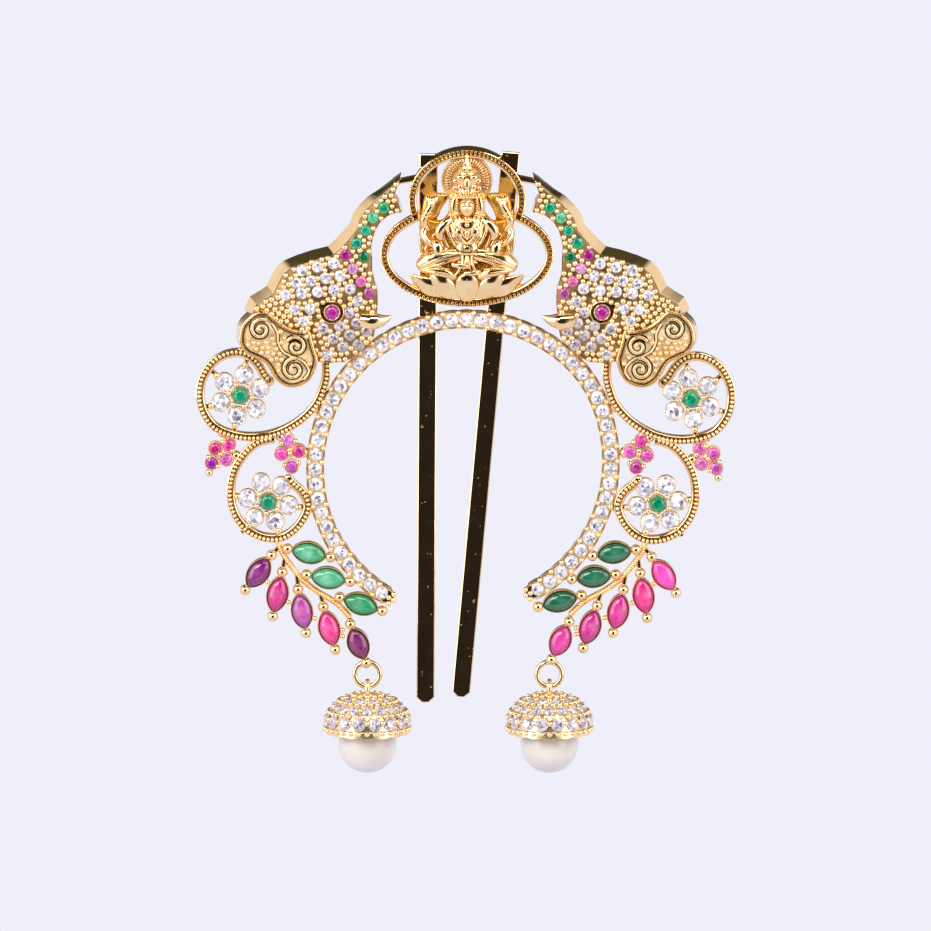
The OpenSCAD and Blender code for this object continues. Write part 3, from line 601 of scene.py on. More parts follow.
def ring_points(angle, radius):
    """Points of the horseshoe at angles from its top. Down the right side the bend comes in softly,
    by a share that runs from 0 to 1 with no slope at either end."""
    a = np.radians(angle)
    x, z = RING_AT[0] + radius * np.sin(a), RING_AT[1] + radius * np.cos(a)
    share = np.clip(z / BEND_STARTS, 0, 1)
    turn = np.where(x > 0, BEND * share * share * (3 - 2 * share), 0)
    dx, dz = x - BEND_AT[0], z - BEND_AT[1]
    return np.stack([
        BEND_AT[0] + dx * np.cos(turn) + dz * np.sin(turn),
        BEND_AT[1] - dx * np.sin(turn) + dz * np.cos(turn),
    ], -1)


angles = np.linspace(-RING_END, RING_END, 8 * 2 * STONES_A_SIDE + 1)
swell = 0.93 + 0.08 * np.abs(np.cos(np.pi * angles / PITCH))
ring_profile = both_ways([
    (0.92, 0), (1.0, 0.08), (1.0, 1.36), (0.98, 1.48), (0.93, 1.54), (0.87, 1.55), (0.82, 1.5), (0.8, 1.3),
])
band = carried(ring_points(angles, RING_R), ring_profile, width=swell)
ends = ring_points(np.array([-RING_END, RING_END]), RING_R)
round_end = turned([(0.7, 0.03), (0.8, 0.1), (0.8, 1.35), (0.7, 1.5), (0.4, 1.55)], 28)
end_caps = copies(round_end, with_depth(ends, 0))
gaps = (np.arange(-STONES_A_SIDE, STONES_A_SIDE) + 0.5) * PITCH
EDGE_OUT, EDGE_DEPTH = 0.74, 1.48
beads = [with_depth(ring_points(gaps, RING_R + s * EDGE_OUT), EDGE_DEPTH) for s in (-1, 1)]
# Four beads at each end: how far in or out of the middle line, and how far beyond the last stone
tail = np.array([(-0.6, 0.55), (0.0, 0.8), (0.6, 0.55), (0.0, 0.2)])
tips = [with_depth(ring_points(s * (RING_END + np.degrees(b / RING_R)), RING_R + a), 1.46)
        for s in (-1, 1) for a, b in tail[:, :, None]]
small, round_bead = ball(10, 6), ball(14, 8)
prong_beads = together(copies(small, np.vstack(beads), 0.29), copies(round_bead, np.vstack(tips), 0.3))
piece("ring_band", together(band, end_caps), polished_gold, stands_for=("frame",))
piece("ring_prong_beads", prong_beads, bead_gold)
floor_profile = both_ways([(0.7, 1.25), (0.78, 1.27), (0.78, 1.42), (0.7, 1.44)])
piece("ring_floor", carried(ring_points(angles, RING_R), floor_profile), cast_gold)
ring_spots = ring_points(np.arange(-STONES_A_SIDE, STONES_A_SIDE + 1) * PITCH, RING_R)
stones("ring_brilliants", with_depth(ring_spots, 1.47), 0.72, ("ring_stones",))

# %% [markdown]
# ## Beaded wire
# The trefoil and the scrolls are cast to look like two wires with a string of grains between them:
# a thin wall on the outer side, a wide smooth flange on the inner side, and grains at an even pitch
# in the channel between. The channel's floor is in shade, and that shade is painted: a strip of the
# dark finish lies on it. The arch's outer wall also leans out towards its foot, most at its top
# and fading to both ends, so a second profile is carried along it and narrowed by a root of a sine.

# %% Trefoil
def wire_profile(width, outer=1):
    """From foot to foot: a thin wall on the outer side, a channel for the grains and a smooth flange.
    The outer side is the path's left for outer = 1 and its right for -1."""
    h = width / 2
    p = np.array([
        (h - 0.05, 0), (h, 0.06), (h, 1.34), (h - 0.03, 1.43), (h - 0.08, 1.46), (h - 0.13, 1.43),
        (h - 0.15, 1.38), (0.4 - h, 1.38), (0.37 - h, 1.47), (0.3 - h, 1.55), (0.18 - h, 1.54),
        (0.07 - h, 1.48), (-h, 1.36), (-h, 0.06), (0.05 - h, 0),
    ])
    return p if outer > 0 else p[::-1] * [-1, 1]


def grains_along(path, radius=0.2, depth=1.5, pitch=0.46, ends=0, shift=0.0, turn=0.0):
    """Grains at an even pitch along a path, shifted to its left, each longer across than along."""
    spots = even(path, pitch)
    spots = (spots + across(spots) * shift)[ends:len(spots) - ends]
    way = np.gradient(spots, axis=0)
    sizes = np.tile([radius * 0.98, radius * 1.1, radius], (len(spots), 1))
    return copies(GRAIN, with_depth(spots, depth), sizes, np.arctan2(way[:, 1], way[:, 0]) + turn)


def painted_channel_shade(width, outer=1):
    """A strip of painted shade between the grains, just above the channel's own floor."""
    h = width / 2
    p = np.array([(h - 0.15, 1.36), (h - 0.15, 1.395), (0.4 - h, 1.395), (0.4 - h, 1.36)])
    return p if outer > 0 else p[::-1] * [-1, 1]


# Height of the centre, half width and half height of the two ellipses
ARCH, OVAL = (14.3, 5.95, 5.15), (8.3, 9.05, 5.25)


def on_ellipse(ellipse, t):
    """Points of an upright ellipse: the cosine of t goes across and the sine goes up."""
    height, half_width, half_height = ellipse
    return np.stack([half_width * np.cos(t), height + half_height * np.sin(t)], -1)


def trefoil_arcs():
    """The outer line of an ellipse above a wider one: an arc of each, met where they cross."""
    t = np.linspace(-np.pi / 2, 0, 2000)
    x, z = on_ellipse(ARCH, t).T
    t0 = np.interp(0, (x / OVAL[1]) ** 2 + ((z - OVAL[0]) / OVAL[2]) ** 2 - 1, t)
    x0, z0 = on_ellipse(ARCH, t0)
    s0 = np.arctan2((z0 - OVAL[0]) / OVAL[2], x0 / OVAL[1])
    upper = on_ellipse(ARCH, np.linspace(t0, np.pi - t0, 90))
    lower = on_ellipse(OVAL, np.linspace(np.pi - s0, 2 * np.pi + s0, 130))
    return upper, lower


upper_arc, lower_arc = trefoil_arcs()
trefoil_path = np.vstack([upper_arc[:-1], lower_arc[:-1]])
over_top = upper_arc[12:-12]
fade = 0.08 + 0.92 * np.sqrt(np.sin(np.linspace(0, np.pi, len(over_top))))
leaning_wall = np.array([(-0.3, 0), (-0.75, 0), (-0.78, 0.1), (-0.46, 1.3), (-0.3, 1.3)])
arc_grains = [grains_along(arc, 0.185, ends=1, shift=-0.125) for arc in (upper_arc, lower_arc)]
piece("trefoil_wire", together(
    carried(trefoil_path, wire_profile(0.9, -1), closed=True),
    carried(over_top, leaning_wall, width=fade), *arc_grains,
), polished_gold, sharp=30)
# A dark strip of painted shade on the channel's floor
piece("trefoil_channel_shade", carried(trefoil_path, painted_channel_shade(0.9, -1), closed=True), painted_shade_gold)

# %% [markdown]
# ## Scrolls
# Each side has an upper and a lower scroll of the same beaded wire, and the upper one ends in a
# polished ball. Flat blobs of solder join the scrolls to the ring and to each other. The scrolls
# cross at their backs, where faces at the same depth would flicker between each other, so each
# scroll and the blobs start a few hundredths of a millimetre apart.

# %% Scrolls and solder
UPPER_SCROLL = [
    (-15.5, -3.0), (-15.5, -5.0), (-15.9, -6.6), (-16.7, -8.3), (-18.4, -10.0), (-20.8, -11.3),
    (-23.2, -11.8), (-25.6, -11.6), (-27.7, -10.7), (-28.9, -9.1), (-29.3, -7.4), (-29.1, -5.6),
    (-28.1, -3.8), (-26.7, -2.8), (-25.2, -2.5), (-23.9, -2.9), (-22.9, -3.9), (-22.3, -5.0), (-21.7, -5.7),
]
LOWER_SCROLL = [
    (-21.2, -12.0), (-23.0, -12.5), (-24.5, -13.8), (-25.6, -15.7), (-26.0, -18.0), (-25.6, -20.2),
    (-24.4, -21.9), (-22.6, -22.9), (-20.6, -23.0), (-18.9, -22.0), (-17.8, -20.4), (-17.6, -19.1),
    (-18.2, -17.9), (-19.1, -17.1), (-19.7, -16.4),
]
SOLDER = [
    (-12.4, -3.0, 0.6), (-16.6, -8.6, 0.6), (-17.5, -19.8, 0.6), (-18.0, -13.6, 0.6), (-25.4, -13.9, 0.5),
    (-26.9, -11.3, 0.6), (-20.6, -11.8, 0.5),
]
# Each scroll's line, the side of its outer wall and how far it is lifted off the back
SCROLLS = [(UPPER_SCROLL, 1, 0.02), (LOWER_SCROLL, -1, 0.04)]
BLOB_LIFT = 0.06
button = turned([(0.85, 0), (1.0, 0.1), (1.0, 0.9), (0.9, 1.15), (0.6, 1.3), (0.25, 1.36)], 20)
for side, change in BRANCHES.items():
    parts, shade_strips, grains = [], [], []
    for line, outer, lift in SCROLLS:
        path = even(curve(line, 12), 0.3)
        parts.append(shifted(carried(path, wire_profile(0.95, outer)), [0, 0, lift]))
        grains.append(grains_along(path, 0.225, 1.52, ends=1, shift=0.125 * outer))
        # The channel's strip is painted shade
        shade_strips.append(shifted(carried(path, painted_channel_shade(0.95, outer)), [0, 0, lift]))
    for x, z, r in SOLDER:
        parts.append(copies(button, [(x, z, BLOB_LIFT)], [[r, r, 1.0]]))
    parts.append(copies(BALL, [(-21.7, -5.7, 0.9)], 0.55))
    piece(f"{side}_scrolls", moved(together(*parts), change), polished_gold)
    piece(f"{side}_scroll_grains", moved(together(*grains), change), bead_gold)
    piece(f"{side}_scroll_channel_shades", moved(together(*shade_strips), change), painted_shade_gold)

# %% [markdown]
# ## Stone flowers
# A flower is six bezels round a green stone, each a thin collar on a cast cup. Between each two
# petals an inner prong bead holds both stones. The petals next to the scroll are tied to it by a
# short bar with a bead on it. The collars are polished and the cups are left as cast, so the two
# are separate pieces.

# %% Flowers
# A flower's middle, the angle of its first petal and the petals that are tied to the scroll
FLOWERS = {"upper_flower": (-24.9, -7.2, 80, (0, 1, 2, 3)), "lower_flower": (-21.9, -19.0, 50, (2, 3, 4, 5))}
FLOWER_GREENS = {"upper_flower": (0.004, 0.30, 0.13), "lower_flower": (0.003, 0.26, 0.12)}
# How far the petals, the inner beads and the outer beads are from the flower's middle
PETALS_OUT, INNER_OUT, OUTER_OUT = 2.3, 1.28, 3.4
TIE_FROM_TO = np.array([[3.2], [3.8], [4.5]])
cup = turned([(0.8, 0.2), (1.0, 0.25), (1.06, 0.6), (1.06, 1.1), (1.04, 1.3), (0.94, 1.36)], 32)
rim = collar(0.95, 1.05, 0.9, 1.46)
hub = turned([(0.7, 0.2), (0.9, 0.25), (1.02, 0.6), (1.04, 1.2), (0.98, 1.4), (0.85, 1.42)], 32)
tie_profile = both_ways([(0.17, 0.2), (0.25, 0.3), (0.25, 1.05), (0.16, 1.2), (0, 1.24)])


def on_circle(centre, radius, degrees):
    """Points of a circle at angles from the right."""
    a = np.radians(np.asarray(degrees, float))
    return np.asarray(centre) + radius * np.stack([np.cos(a), np.sin(a)], -1)


for side, change in BRANCHES.items():
    for name, (x, z, first, tied) in FLOWERS.items():
        whole = f"{side}_{name}"
        turns = first + 60 * np.arange(6)
        petals = on_circle((x, z), PETALS_OUT, turns)
        parts = [
            copies(rim, with_depth(petals, 0)),
            copies(BALL, with_depth(on_circle((x, z), INNER_OUT, turns + 30), 1.62), 0.32),
            copies(BALL, with_depth(on_circle((x, z), OUTER_OUT, turns[list(tied)]), 1.4), 0.36),
        ]
        for k in tied:
            parts.append(carried(on_circle((x, z), TIE_FROM_TO, [turns[k]]), tie_profile))
        piece(f"{whole}_bezels", moved(together(*parts), change), polished_gold)
        cups = together(copies(cup, with_depth(petals, 0)), copies(hub, [(x, z, 0)]))
        piece(f"{whole}_cups", moved(cups, change), cast_gold)
        stones(f"{whole}_petal_cut", with_depth(petals, 1.42), 0.98, (f"{whole}_petals",), change)
        green = [FLOWER_GREENS[name]]
        stones(f"{whole}_centre_cut", [(x, z, 1.6)], 0.88, (f"{whole}_centre",), change, green)

# %% [markdown]
# ## Closed plates
# Heads, ears and the ground behind the figure are plates with a free outline and shaped edges. An
# extruded curve with a bevel would give every edge the same rounding. Here a plate is its outline,
# inset step by step while its depth follows the edge's profile. After each small step the outline
# is eased a little, so that sharp turns don't fold over as they shrink.

# %% Plates by insets
def outward(path):
    """The direction out of a closed outline at each point."""
    n = across(path, closed=True)
    area = (path[:, 0] * np.roll(path[:, 1], -1) - np.roll(path[:, 0], -1) * path[:, 1]).sum()
    return n if area < 0 else -n


INSET_STEP = 0.06


def inset(path, distance, ease=0.12):
    """The outline moved inwards in small steps, each one easing the points towards their neighbours."""
    steps = max(1, int(np.ceil(abs(distance) / INSET_STEP)))
    p = path.copy()
    for step in range(steps):
        p = p - outward(p) * distance / steps
        p += ease * (0.5 * (np.roll(p, 1, 0) + np.roll(p, -1, 0)) - p)
    return p


def plate(outline, levels, shift=(0, 0), ease=0.12):
    """A plate with a flat face at each end: at each level of inset, depth and share of the shift
    stands one ring of its outline."""
    rings = []
    for distance, depth, share in levels:
        ring = inset(outline, distance, ease) if distance > 0 else outline - outward(outline) * distance
        rings.append(with_depth(ring + np.asarray(shift) * share, depth))
    return skin_of_grid(np.array(rings))


turn = 2 * np.pi * np.arange(60) / 60
smaller = inset(np.stack([np.cos(turn), np.sin(turn)], -1), 0.3)
print("a circle of 1 mm, inset by 0.3, has a radius of", np.linalg.norm(smaller, axis=1).mean().round(2))

# %% [markdown]
# ## Elephant heads
# The heads are cast plates, and each side shows an elephant in profile with its trunk curled up to
# the trefoil. Green and pink stones follow the trunk, white stones pave the face in rows, and one
# eye stands out. The outline keeps its corners, because it was filed, while the ear's is smooth.

# %% Outlines and stones of a head
HEAD_OUTLINE = [
    (-7.4, 16.6), (-8.2, 15.9), (-9.1, 15.1), (-10.3, 14.2), (-11.2, 13.2), (-11.8, 12.3), (-12.1, 11.2),
    (-12.9, 10.2), (-13.7, 9.3), (-14.6, 8.5), (-16.3, 8.1), (-18.1, 7.5), (-19.5, 6.9), (-20.3, 6.1),
    (-20.8, 5.1), (-21.2, 4.2), (-22.1, 3.6), (-23.1, 3.0), (-23.6, 1.9), (-22.5, -0.4), (-18.4, -1.8),
    (-16.7, -3.3), (-15.0, -3.5), (-13.4, -3.4), (-12.2, -2.7), (-11.4, -1.9), (-10.3, -0.8), (-10.0, 0.4),
    (-9.9, 1.6), (-9.8, 3.2), (-9.8, 4.4), (-10.1, 5.4), (-10.4, 6.6), (-10.4, 8.0), (-10.5, 9.2),
    (-10.3, 10.3), (-10.0, 11.2), (-9.5, 12.0), (-8.7, 12.7), (-7.9, 13.0), (-7.2, 13.1), (-7.5, 14.1),
    (-8.0, 14.9), (-7.7, 15.7),
]
GREENS = np.array([(-9.1, 13.6), (-10.3, 12.5), (-11.1, 11.1), (-12.1, 9.7), (-11.3, 8.2)])
PINKS = np.array([(-13.3, 8.4), (-12.5, 6.9), (-11.6, 5.5), (-10.7, 4.2)])
ROWS = [
    (-14.6, 7.5, -18.1, 6.7, 3), (-13.9, 6.1, -18.7, 5.3, 4), (-12.8, 4.7, -19.9, 4.0, 5),
    (-12.0, 3.3, -12.0, 3.3, 1), (-17.2, 2.5, -18.9, 2.4, 2), (-12.9, 2.1, -12.9, 2.1, 1),
    (-17.9, 1.1, -17.9, 1.1, 1), (-12.1, 0.9, -15.8, 0.3, 3), (-11.0, 0.0, -14.7, -0.8, 3),
    (-11.9, -1.5, -13.6, -1.7, 2), (-15.3, -2.6, -15.3, -2.6, 1),
]
WHITES = np.vstack([np.linspace((a, b), (c, d), n) for a, b, c, d, n in ROWS])
EYE = np.array([-14.8, 2.1])
EAR_OUTLINE = [
    (-22.1, 2.3), (-21.1, 1.5), (-20.2, 0.8), (-19.2, 0.3), (-18.3, 0.1), (-17.3, 0.1), (-17.0, -0.9),
    (-16.7, -2.0), (-16.4, -3.0), (-16.6, -4.0), (-17.0, -4.9), (-17.6, -5.6), (-18.5, -6.0), (-19.5, -6.1),
    (-20.4, -5.7), (-21.1, -5.0), (-21.6, -4.1), (-22.1, -3.4), (-23.0, -2.9), (-23.9, -2.5), (-24.5, -2.0),
    (-24.9, -1.2), (-24.9, -0.2), (-24.6, 0.8), (-24.0, 1.5), (-23.2, 2.1),
]
ear_line = closed_curve(EAR_OUTLINE, 6)


def cornered(points, steps=4):
    """A closed line that keeps its corners: straight runs of even points between them."""
    p = np.asarray(points, float)
    t = (np.arange(steps) / steps)[None, :, None]
    return (p[:, None] * (1 - t) + np.roll(p, -1, 0)[:, None] * t).reshape(-1, 2)


head_line = cornered(HEAD_OUTLINE)
print("white stones on a head:", len(WHITES))

# %% [markdown]
# ## Grains between the stones
# A stone-setter raises a grain of metal in each gap and pushes it over the stones round it. Their
# places could be drawn one by one. Here a fine grid of candidates covers the face, those that are
# clear of every stone are kept, and the tightest gaps are filled first.

# %% Grains on the face
def inside(points, outline):
    """Which points lie in an outline: those with an odd number of its edges to their right."""
    a, b = outline[None], np.roll(outline, -1, 0)[None]
    x, z = points[:, None, 0], points[:, None, 1]
    crosses = (a[..., 1] > z) != (b[..., 1] > z)
    rise = np.where(b[..., 1] == a[..., 1], 1e-9, b[..., 1] - a[..., 1])
    return (crosses & (x < a[..., 0] + (z - a[..., 1]) * (b[..., 0] - a[..., 0]) / rise)).sum(1) % 2 == 1


def spread_grains(outline, holes, clear, spacing, pitch=0.11, margin=0.22):
    """Spots in an outline, at least clear away from each hole's edge and spacing from each other,
    taken in the order of their room, so the tightest gaps between the stones come first."""
    lo, hi = outline.min(0), outline.max(0)
    x, z = np.meshgrid(np.arange(lo[0], hi[0], pitch), np.arange(lo[1], hi[1], pitch))
    spots = np.stack([x.ravel(), z.ravel()], -1)
    spots = spots[inside(spots, inset(outline, margin))]
    room = (np.linalg.norm(spots[:, None] - holes[None, :, :2], axis=2) - holes[None, :, 2]).min(1)
    spots, room = spots[room > clear], room[room > clear]
    kept = []
    for k in np.argsort(np.round(room, 1), kind="stable"):
        if all(np.hypot(*(spots[k] - other)) > spacing for other in kept):
            kept.append(spots[k])
    return np.array(kept)


holes = np.vstack([with_depth(WHITES, 0.65), with_depth(np.vstack([GREENS, PINKS]), 0.68), [[*EYE, 1.3]]])
face_spots = spread_grains(head_line, holes, 0.16, 0.62)
face_spots = face_spots[~inside(face_spots, ear_line)]
print("grains on a head:", len(face_spots))

# %% [markdown]
# ## Walls and bed of a head
# The walls slope outwards to the foot, most on the outer side, so they catch the light all round.
# The foot's rings are pushed out and down by a share that grows with the distance from the middle.
# The bed between the stones lies a little lower than the rim, and the shade between the stones is
# painted on it as a dark brown.

# %% Head plates
head_levels = [(-0.28, 0, 1), (-0.3, 0.1, 0.97), (-0.03, 2.1, 0.06), (-0.01, 2.2, 0), (0.04, 2.26, 0),
               (0.12, 2.25, 0)]
lean = 0.35 + 0.65 * np.clip((-head_line[:, :1] - 8) / 5, 0, 1)
head_wall = plate(head_line, head_levels, lean * [-0.55, 0.4], ease=0)
head_floor = plate(inset(head_line, 0.1), [(0.02, 1.9, 0), (0, 2.0, 0), (0, 2.26, 0), (0.04, 2.29, 0)])
print("the foot leans out by up to", (0.55 * lean.max()).round(2), "mm")

# %% [markdown]
# ## Eye and tusk
# The eye's bezel is a teardrop, and a turned profile can only be round. So it is a ring whose
# radius grows to a point at the back of the eye, and its profile falls from an outer lip into a
# trough and rises to the collar round the stone. The trough's shade is painted, as a dark band in
# the dark finish. The tusk is a smooth limb: rings square to a bent path, with a radius that
# shrinks to the tip.

# %% Eye, tusk and trunk tie
EYE_STONE_R, POINT_AT = 0.68, np.radians(150)


def eye_ring(shares, depths):
    """A closed band round the eye, 1.3 mm wide with a narrow point at its back: each row is a share
    of the way from the outer line to the stone, at its depth."""
    a = np.linspace(0, 2 * np.pi, 72, endpoint=False)
    away = np.abs((a - POINT_AT + np.pi) % (2 * np.pi) - np.pi)
    outer = 1.26 + 0.1 * np.abs(np.cos(a)) + 0.62 * np.exp(-((away / 0.3) ** 1.3))
    r = outer[None] + (EYE_STONE_R - outer[None]) * np.asarray(shares)[:, None]
    grid = np.stack([EYE[0] + r * np.cos(a), EYE[1] + r * np.sin(a), np.asarray(depths)[:, None] + 0 * r], -1)
    return skin_of_grid(grid, loop=True)


eye_rim = eye_ring([0, 0, 0.06, 0.14, 0.22, 0.26, 0.26], [1.9, 2.42, 2.54, 2.56, 2.5, 2.38, 1.9])
# The trough is a band of painted shade
eye_trough = eye_ring([0.2, 0.2, 0.9, 0.9], [1.9, 2.32, 2.32, 1.9])
eye_collar = copies(collar(0.76, 0.9, 2.2, 2.62), [(*EYE, 0)])


def limb(rows, around=20, flat=1.0, steps=6, folds=(0, 0)):
    """A smooth limb through rows of x, height, depth and radius. Each ring stands square to the
    path, flattened in depth, and the ends close in a rounded tip. folds ripples the radius."""
    smooth = curve(rows, steps)
    path, r = smooth[:, :3], np.maximum(smooth[:, 3], 0.03)
    way = np.gradient(path, axis=0)
    way /= np.linalg.norm(way, axis=1, keepdims=True)
    side = np.cross(way, [0, 0, 1.0])
    side /= np.linalg.norm(side, axis=1, keepdims=True)
    front = np.cross(way, side)
    r = r * (1 + folds[0] * np.sin(np.linspace(0, folds[1] * 2 * np.pi, len(r))))
    path = np.vstack([path[:1] - way[:1] * r[0] * 0.3, path, path[-1:] + way[-1:] * r[-1] * 0.3])
    side, front = (np.vstack([q[:1], q, q[-1:]]) for q in (side, front))
    rings = np.concatenate([[r[0] * 0.7], r, [r[-1] * 0.7]])
    a = 2 * np.pi * np.arange(around) / around
    round_it = np.cos(a)[None, :, None] * side[:, None] + flat * np.sin(a)[None, :, None] * front[:, None]
    tips = np.array([path[0] - way[0] * r[0] * 0.25, path[-1] + way[-1] * r[-1] * 0.25])
    return skin_of_grid(path[:, None] + rings[:, None, None] * round_it, tips=tips)


TUSK = [(-11.5, 1.15, 1.9, 0.95), (-10.3, 1.1, 2.15, 0.92), (-9.2, 1.25, 2.1, 0.6), (-8.2, 1.65, 1.95, 0.08)]
tusk = limb(TUSK, 24, 0.9, 8)
tie_line = curve([(-7.6, 16.35), (-6.6, 16.55), (-5.4, 16.8)], 4)
trunk_tie = carried(tie_line, both_ways([(0.26, 0.3), (0.35, 0.42), (0.35, 1.1), (0.22, 1.28), (0, 1.33)]))
print("the tusk has", sum(len(f) for f in tusk[1]), "faces")

# %% [markdown]
# ## Ears
# An ear is a raised plate with a polished rim and a field of relief: three spirals joined by a
# double curve, with grains strewn between them. A spiral is a rounded ridge carried along a path
# whose radius shrinks as it turns. What stands up has been brushed bright. Beside the rim, the double
# curve and the spirals each groove lies in shade, and that shade is painted as a dark strip, so
# each of the three is a piece of its own.

# %% Ear relief
def spiral(x, z, radius, start, hand, turns=1.3):
    """A path that winds inwards: its radius falls to a quarter while it makes the turns."""
    t = np.linspace(0, 1, 72)
    a = np.radians(start + hand * 360 * turns * t)
    r = radius * (1 - 0.78 * t)
    return np.stack([x + r * np.cos(a), z + r * np.sin(a)], -1)


SPIRALS = [(-22.6, 0.3, 1.2, 60, 1), (-18.75, -1.6, 1.15, 150, -1), (-19.0, -4.1, 1.25, 80, 1)]
ridge = both_ways([(0.19, 2.9), (0.19, 3.15), (0.16, 3.27), (0.09, 3.35), (0, 3.38)])
thin_ridge = both_ways([(0.13, 2.9), (0.13, 3.15), (0.1, 3.26), (0, 3.33)])
S_CURVE = curve([
    (-21.3, 0.9), (-20.75, -0.1), (-20.7, -1.1), (-20.2, -2.1), (-19.3, -2.65), (-18.3, -3.0),
    (-17.6, -3.6), (-17.35, -4.4), (-17.9, -5.2),
], 8)
ear_levels = [
    (-0.2, 0.5, 1), (-0.05, 2.9, 0), (-0.05, 3.12, 0), (0.0, 3.24, 0), (0.08, 3.3, 0), (0.17, 3.3, 0),
    (0.25, 3.22, 0), (0.28, 3.06, 0),
]
field_levels = [(0.28, 2.7, 0), (0.28, 3.06, 0), (0.36, 3.09, 0)]


def groove(half, depth, lift=0.01):
    """A flat strip of painted shade, half wide to each side, just above the field."""
    return both_ways([(half, depth - 0.1), (half, depth), (half * 0.6, depth + lift)])


# Dark strips of painted shade beside the rim, the double curve and the spirals
rim_groove = carried(inset(ear_line, 0.38), groove(0.07, 3.105), closed=True)
inner_rim = carried(inset(ear_line, 0.5), both_ways([(0.07, 2.9), (0.07, 3.17), (0.04, 3.22)]), closed=True)
spiral_lines = [spiral(*line) for line in SPIRALS]
spiral_grooves = [carried(line, groove(0.34, 3.11)) for line in spiral_lines]
ear_grooves = together(rim_groove, carried(S_CURVE, groove(0.23, 3.1)), *spiral_grooves)
taken = np.vstack([np.array(SPIRALS)[:, :3] + [0, 0, 0.25], with_depth(S_CURVE[::2], 0.2)])
ear_spots = spread_grains(ear_line, taken, 0.14, 0.56, margin=0.75)
ear = plate(ear_line, ear_levels, (-0.25, 0.1))
raised = [inner_rim, carried(S_CURVE, thin_ridge)]
for line in spiral_lines:
    raised += [carried(line, ridge), copies(BALL, [(*line[-1], 3.12)], 0.27)]
ear_relief = together(*raised)
ear_field = plate(ear_line, field_levels)
ear_grains = copies(GRAIN, with_depth(ear_spots, 3.12), 0.25 + 0.05 * chance.random(len(ear_spots)))
print("grains on an ear:", len(ear_spots))

# %% [markdown]
# ## Heads on both sides
# The two heads are mirror images, so each skin is moved to its side and given its finish. The five
# greens run down the trunk and the four pinks follow them, each with a tint of its own. The cheek
# turns away from the light, so the white stones low down and near the trunk are a little darker.

# %% Heads on both sides
GREEN_TINTS = [
    (0.004, 0.34, 0.15), (0.10, 0.50, 0.27), (0.015, 0.36, 0.17), (0.004, 0.33, 0.19), (0.002, 0.17, 0.06),
]
PINK_TINTS = [(0.40, 0.010, 0.23), (0.68, 0.32, 0.62), (0.76, 0.16, 0.42), (0.38, 0.07, 0.26)]
EYE_TINTS = [(0.42, 0.02, 0.27)]
CHEEK = np.array([-12.0, -1.0])
cheek_shade = 0.58 + 0.42 * np.clip((np.linalg.norm(WHITES - CHEEK, axis=1) - 1.5) / 4.5, 0, 1)
# The eye's trough and the ear's strips are painted shade in the dark finish
head_trim, painted_groove_shades = together(eye_rim, eye_collar, tusk, trunk_tie), together(eye_trough, ear_grooves)
COLOURED = [
    ("green_cut", with_depth(GREENS, 2.22), 0.7, "trunk_greens", GREEN_TINTS, "green_stone"),
    ("pink_cut", with_depth(PINKS, 2.22), 0.7, "trunk_pinks", PINK_TINTS, "pink_stone"),
    ("eye_cut", [(*EYE, 2.5)], 0.78, "eye", EYE_TINTS, "magenta_stone"),
]
METAL = [
    ("head_trim", head_trim, polished_gold), ("painted_shades", painted_groove_shades, painted_shade_gold),
    ("ear", ear, polished_gold), ("ear_relief", ear_relief, bead_gold),
    ("ear_field", ear_field, cast_gold), ("ear_grains", ear_grains, bead_gold),
]
whites = with_depth(WHITES, 2.24)
for side, change in SIDES.items():
    grains = copies(small, with_depth(face_spots, 2.3), 0.3 + 0.05 * chance.random(len(face_spots)))
    piece(f"{side}_head_plate", moved(head_wall, change), polished_gold, sharp=22)
    # The bed's dark brown is painted shade
    piece(f"{side}_head_shaded_bed", moved(head_floor, change), painted_shade_bed_gold)
    piece(f"{side}_head_grains", moved(grains, change), bead_gold)
    for name, skin, finish in METAL:
        piece(f"{side}_{name}", moved(skin, change), finish)
    stones(f"{side}_head_cut", whites, 0.7, (f"{side}_head_stones",), change, shade=cheek_shade)
    for name, places, radius, stands_for, tints, slot in COLOURED:
        stones(f"{side}_{name}", places, radius, (f"{side}_{stands_for}",), change, tints)

# %% [markdown]
# ## Clusters
# Four pink stones stand in a square on cast cups, with a bead in each gap and one in the middle,
# and two polished balls beside each square. The beads' places are worked out from the stones': each
# is halfway between two neighbours and a little out from the square's middle, so they follow when
# a stone is moved. No two of the pinks are alike, nor are the two sides of the pin, so each stone's
# tint is listed by side.

# %% Clusters
CLUSTERS = {
    "outer_cluster": [(-26.2, -12.7), (-27.7, -13.1), (-26.5, -14.3), (-28.1, -14.7)],
    "inner_cluster": [(-19.7, -12.2), (-20.4, -13.7), (-18.5, -13.4), (-19.3, -15.1)],
}
CLUSTER_TINTS = {
    "left_outer_cluster": [(0.72, 0.05, 0.31), (0.60, 0.02, 0.20), (0.60, 0.12, 0.42), (0.32, 0.012, 0.30)],
    "left_inner_cluster": [(0.72, 0.21, 0.60), (0.70, 0.08, 0.42), (0.72, 0.04, 0.27), (0.50, 0.08, 0.42)],
    "right_outer_cluster": [(0.70, 0.11, 0.42), (0.66, 0.10, 0.38), (0.72, 0.15, 0.48), (0.50, 0.08, 0.40)],
    "right_inner_cluster": [(0.68, 0.05, 0.34), (0.66, 0.10, 0.42), (0.70, 0.13, 0.48), (0.48, 0.04, 0.30)],
}
CLUSTER_BEADS = [(-28.4, -15.8), (-26.7, -11.5), (-19.7, -11.6), (-19.7, -16.4)]
cluster_cup = turned([(0.6, 0.2), (0.76, 0.26), (0.84, 0.6), (0.84, 1.2), (0.8, 1.34), (0.66, 1.36)], 28)
cluster_middle = turned([(0.4, 0.2), (0.55, 0.3), (0.55, 1.2), (0.4, 1.32)], 16)
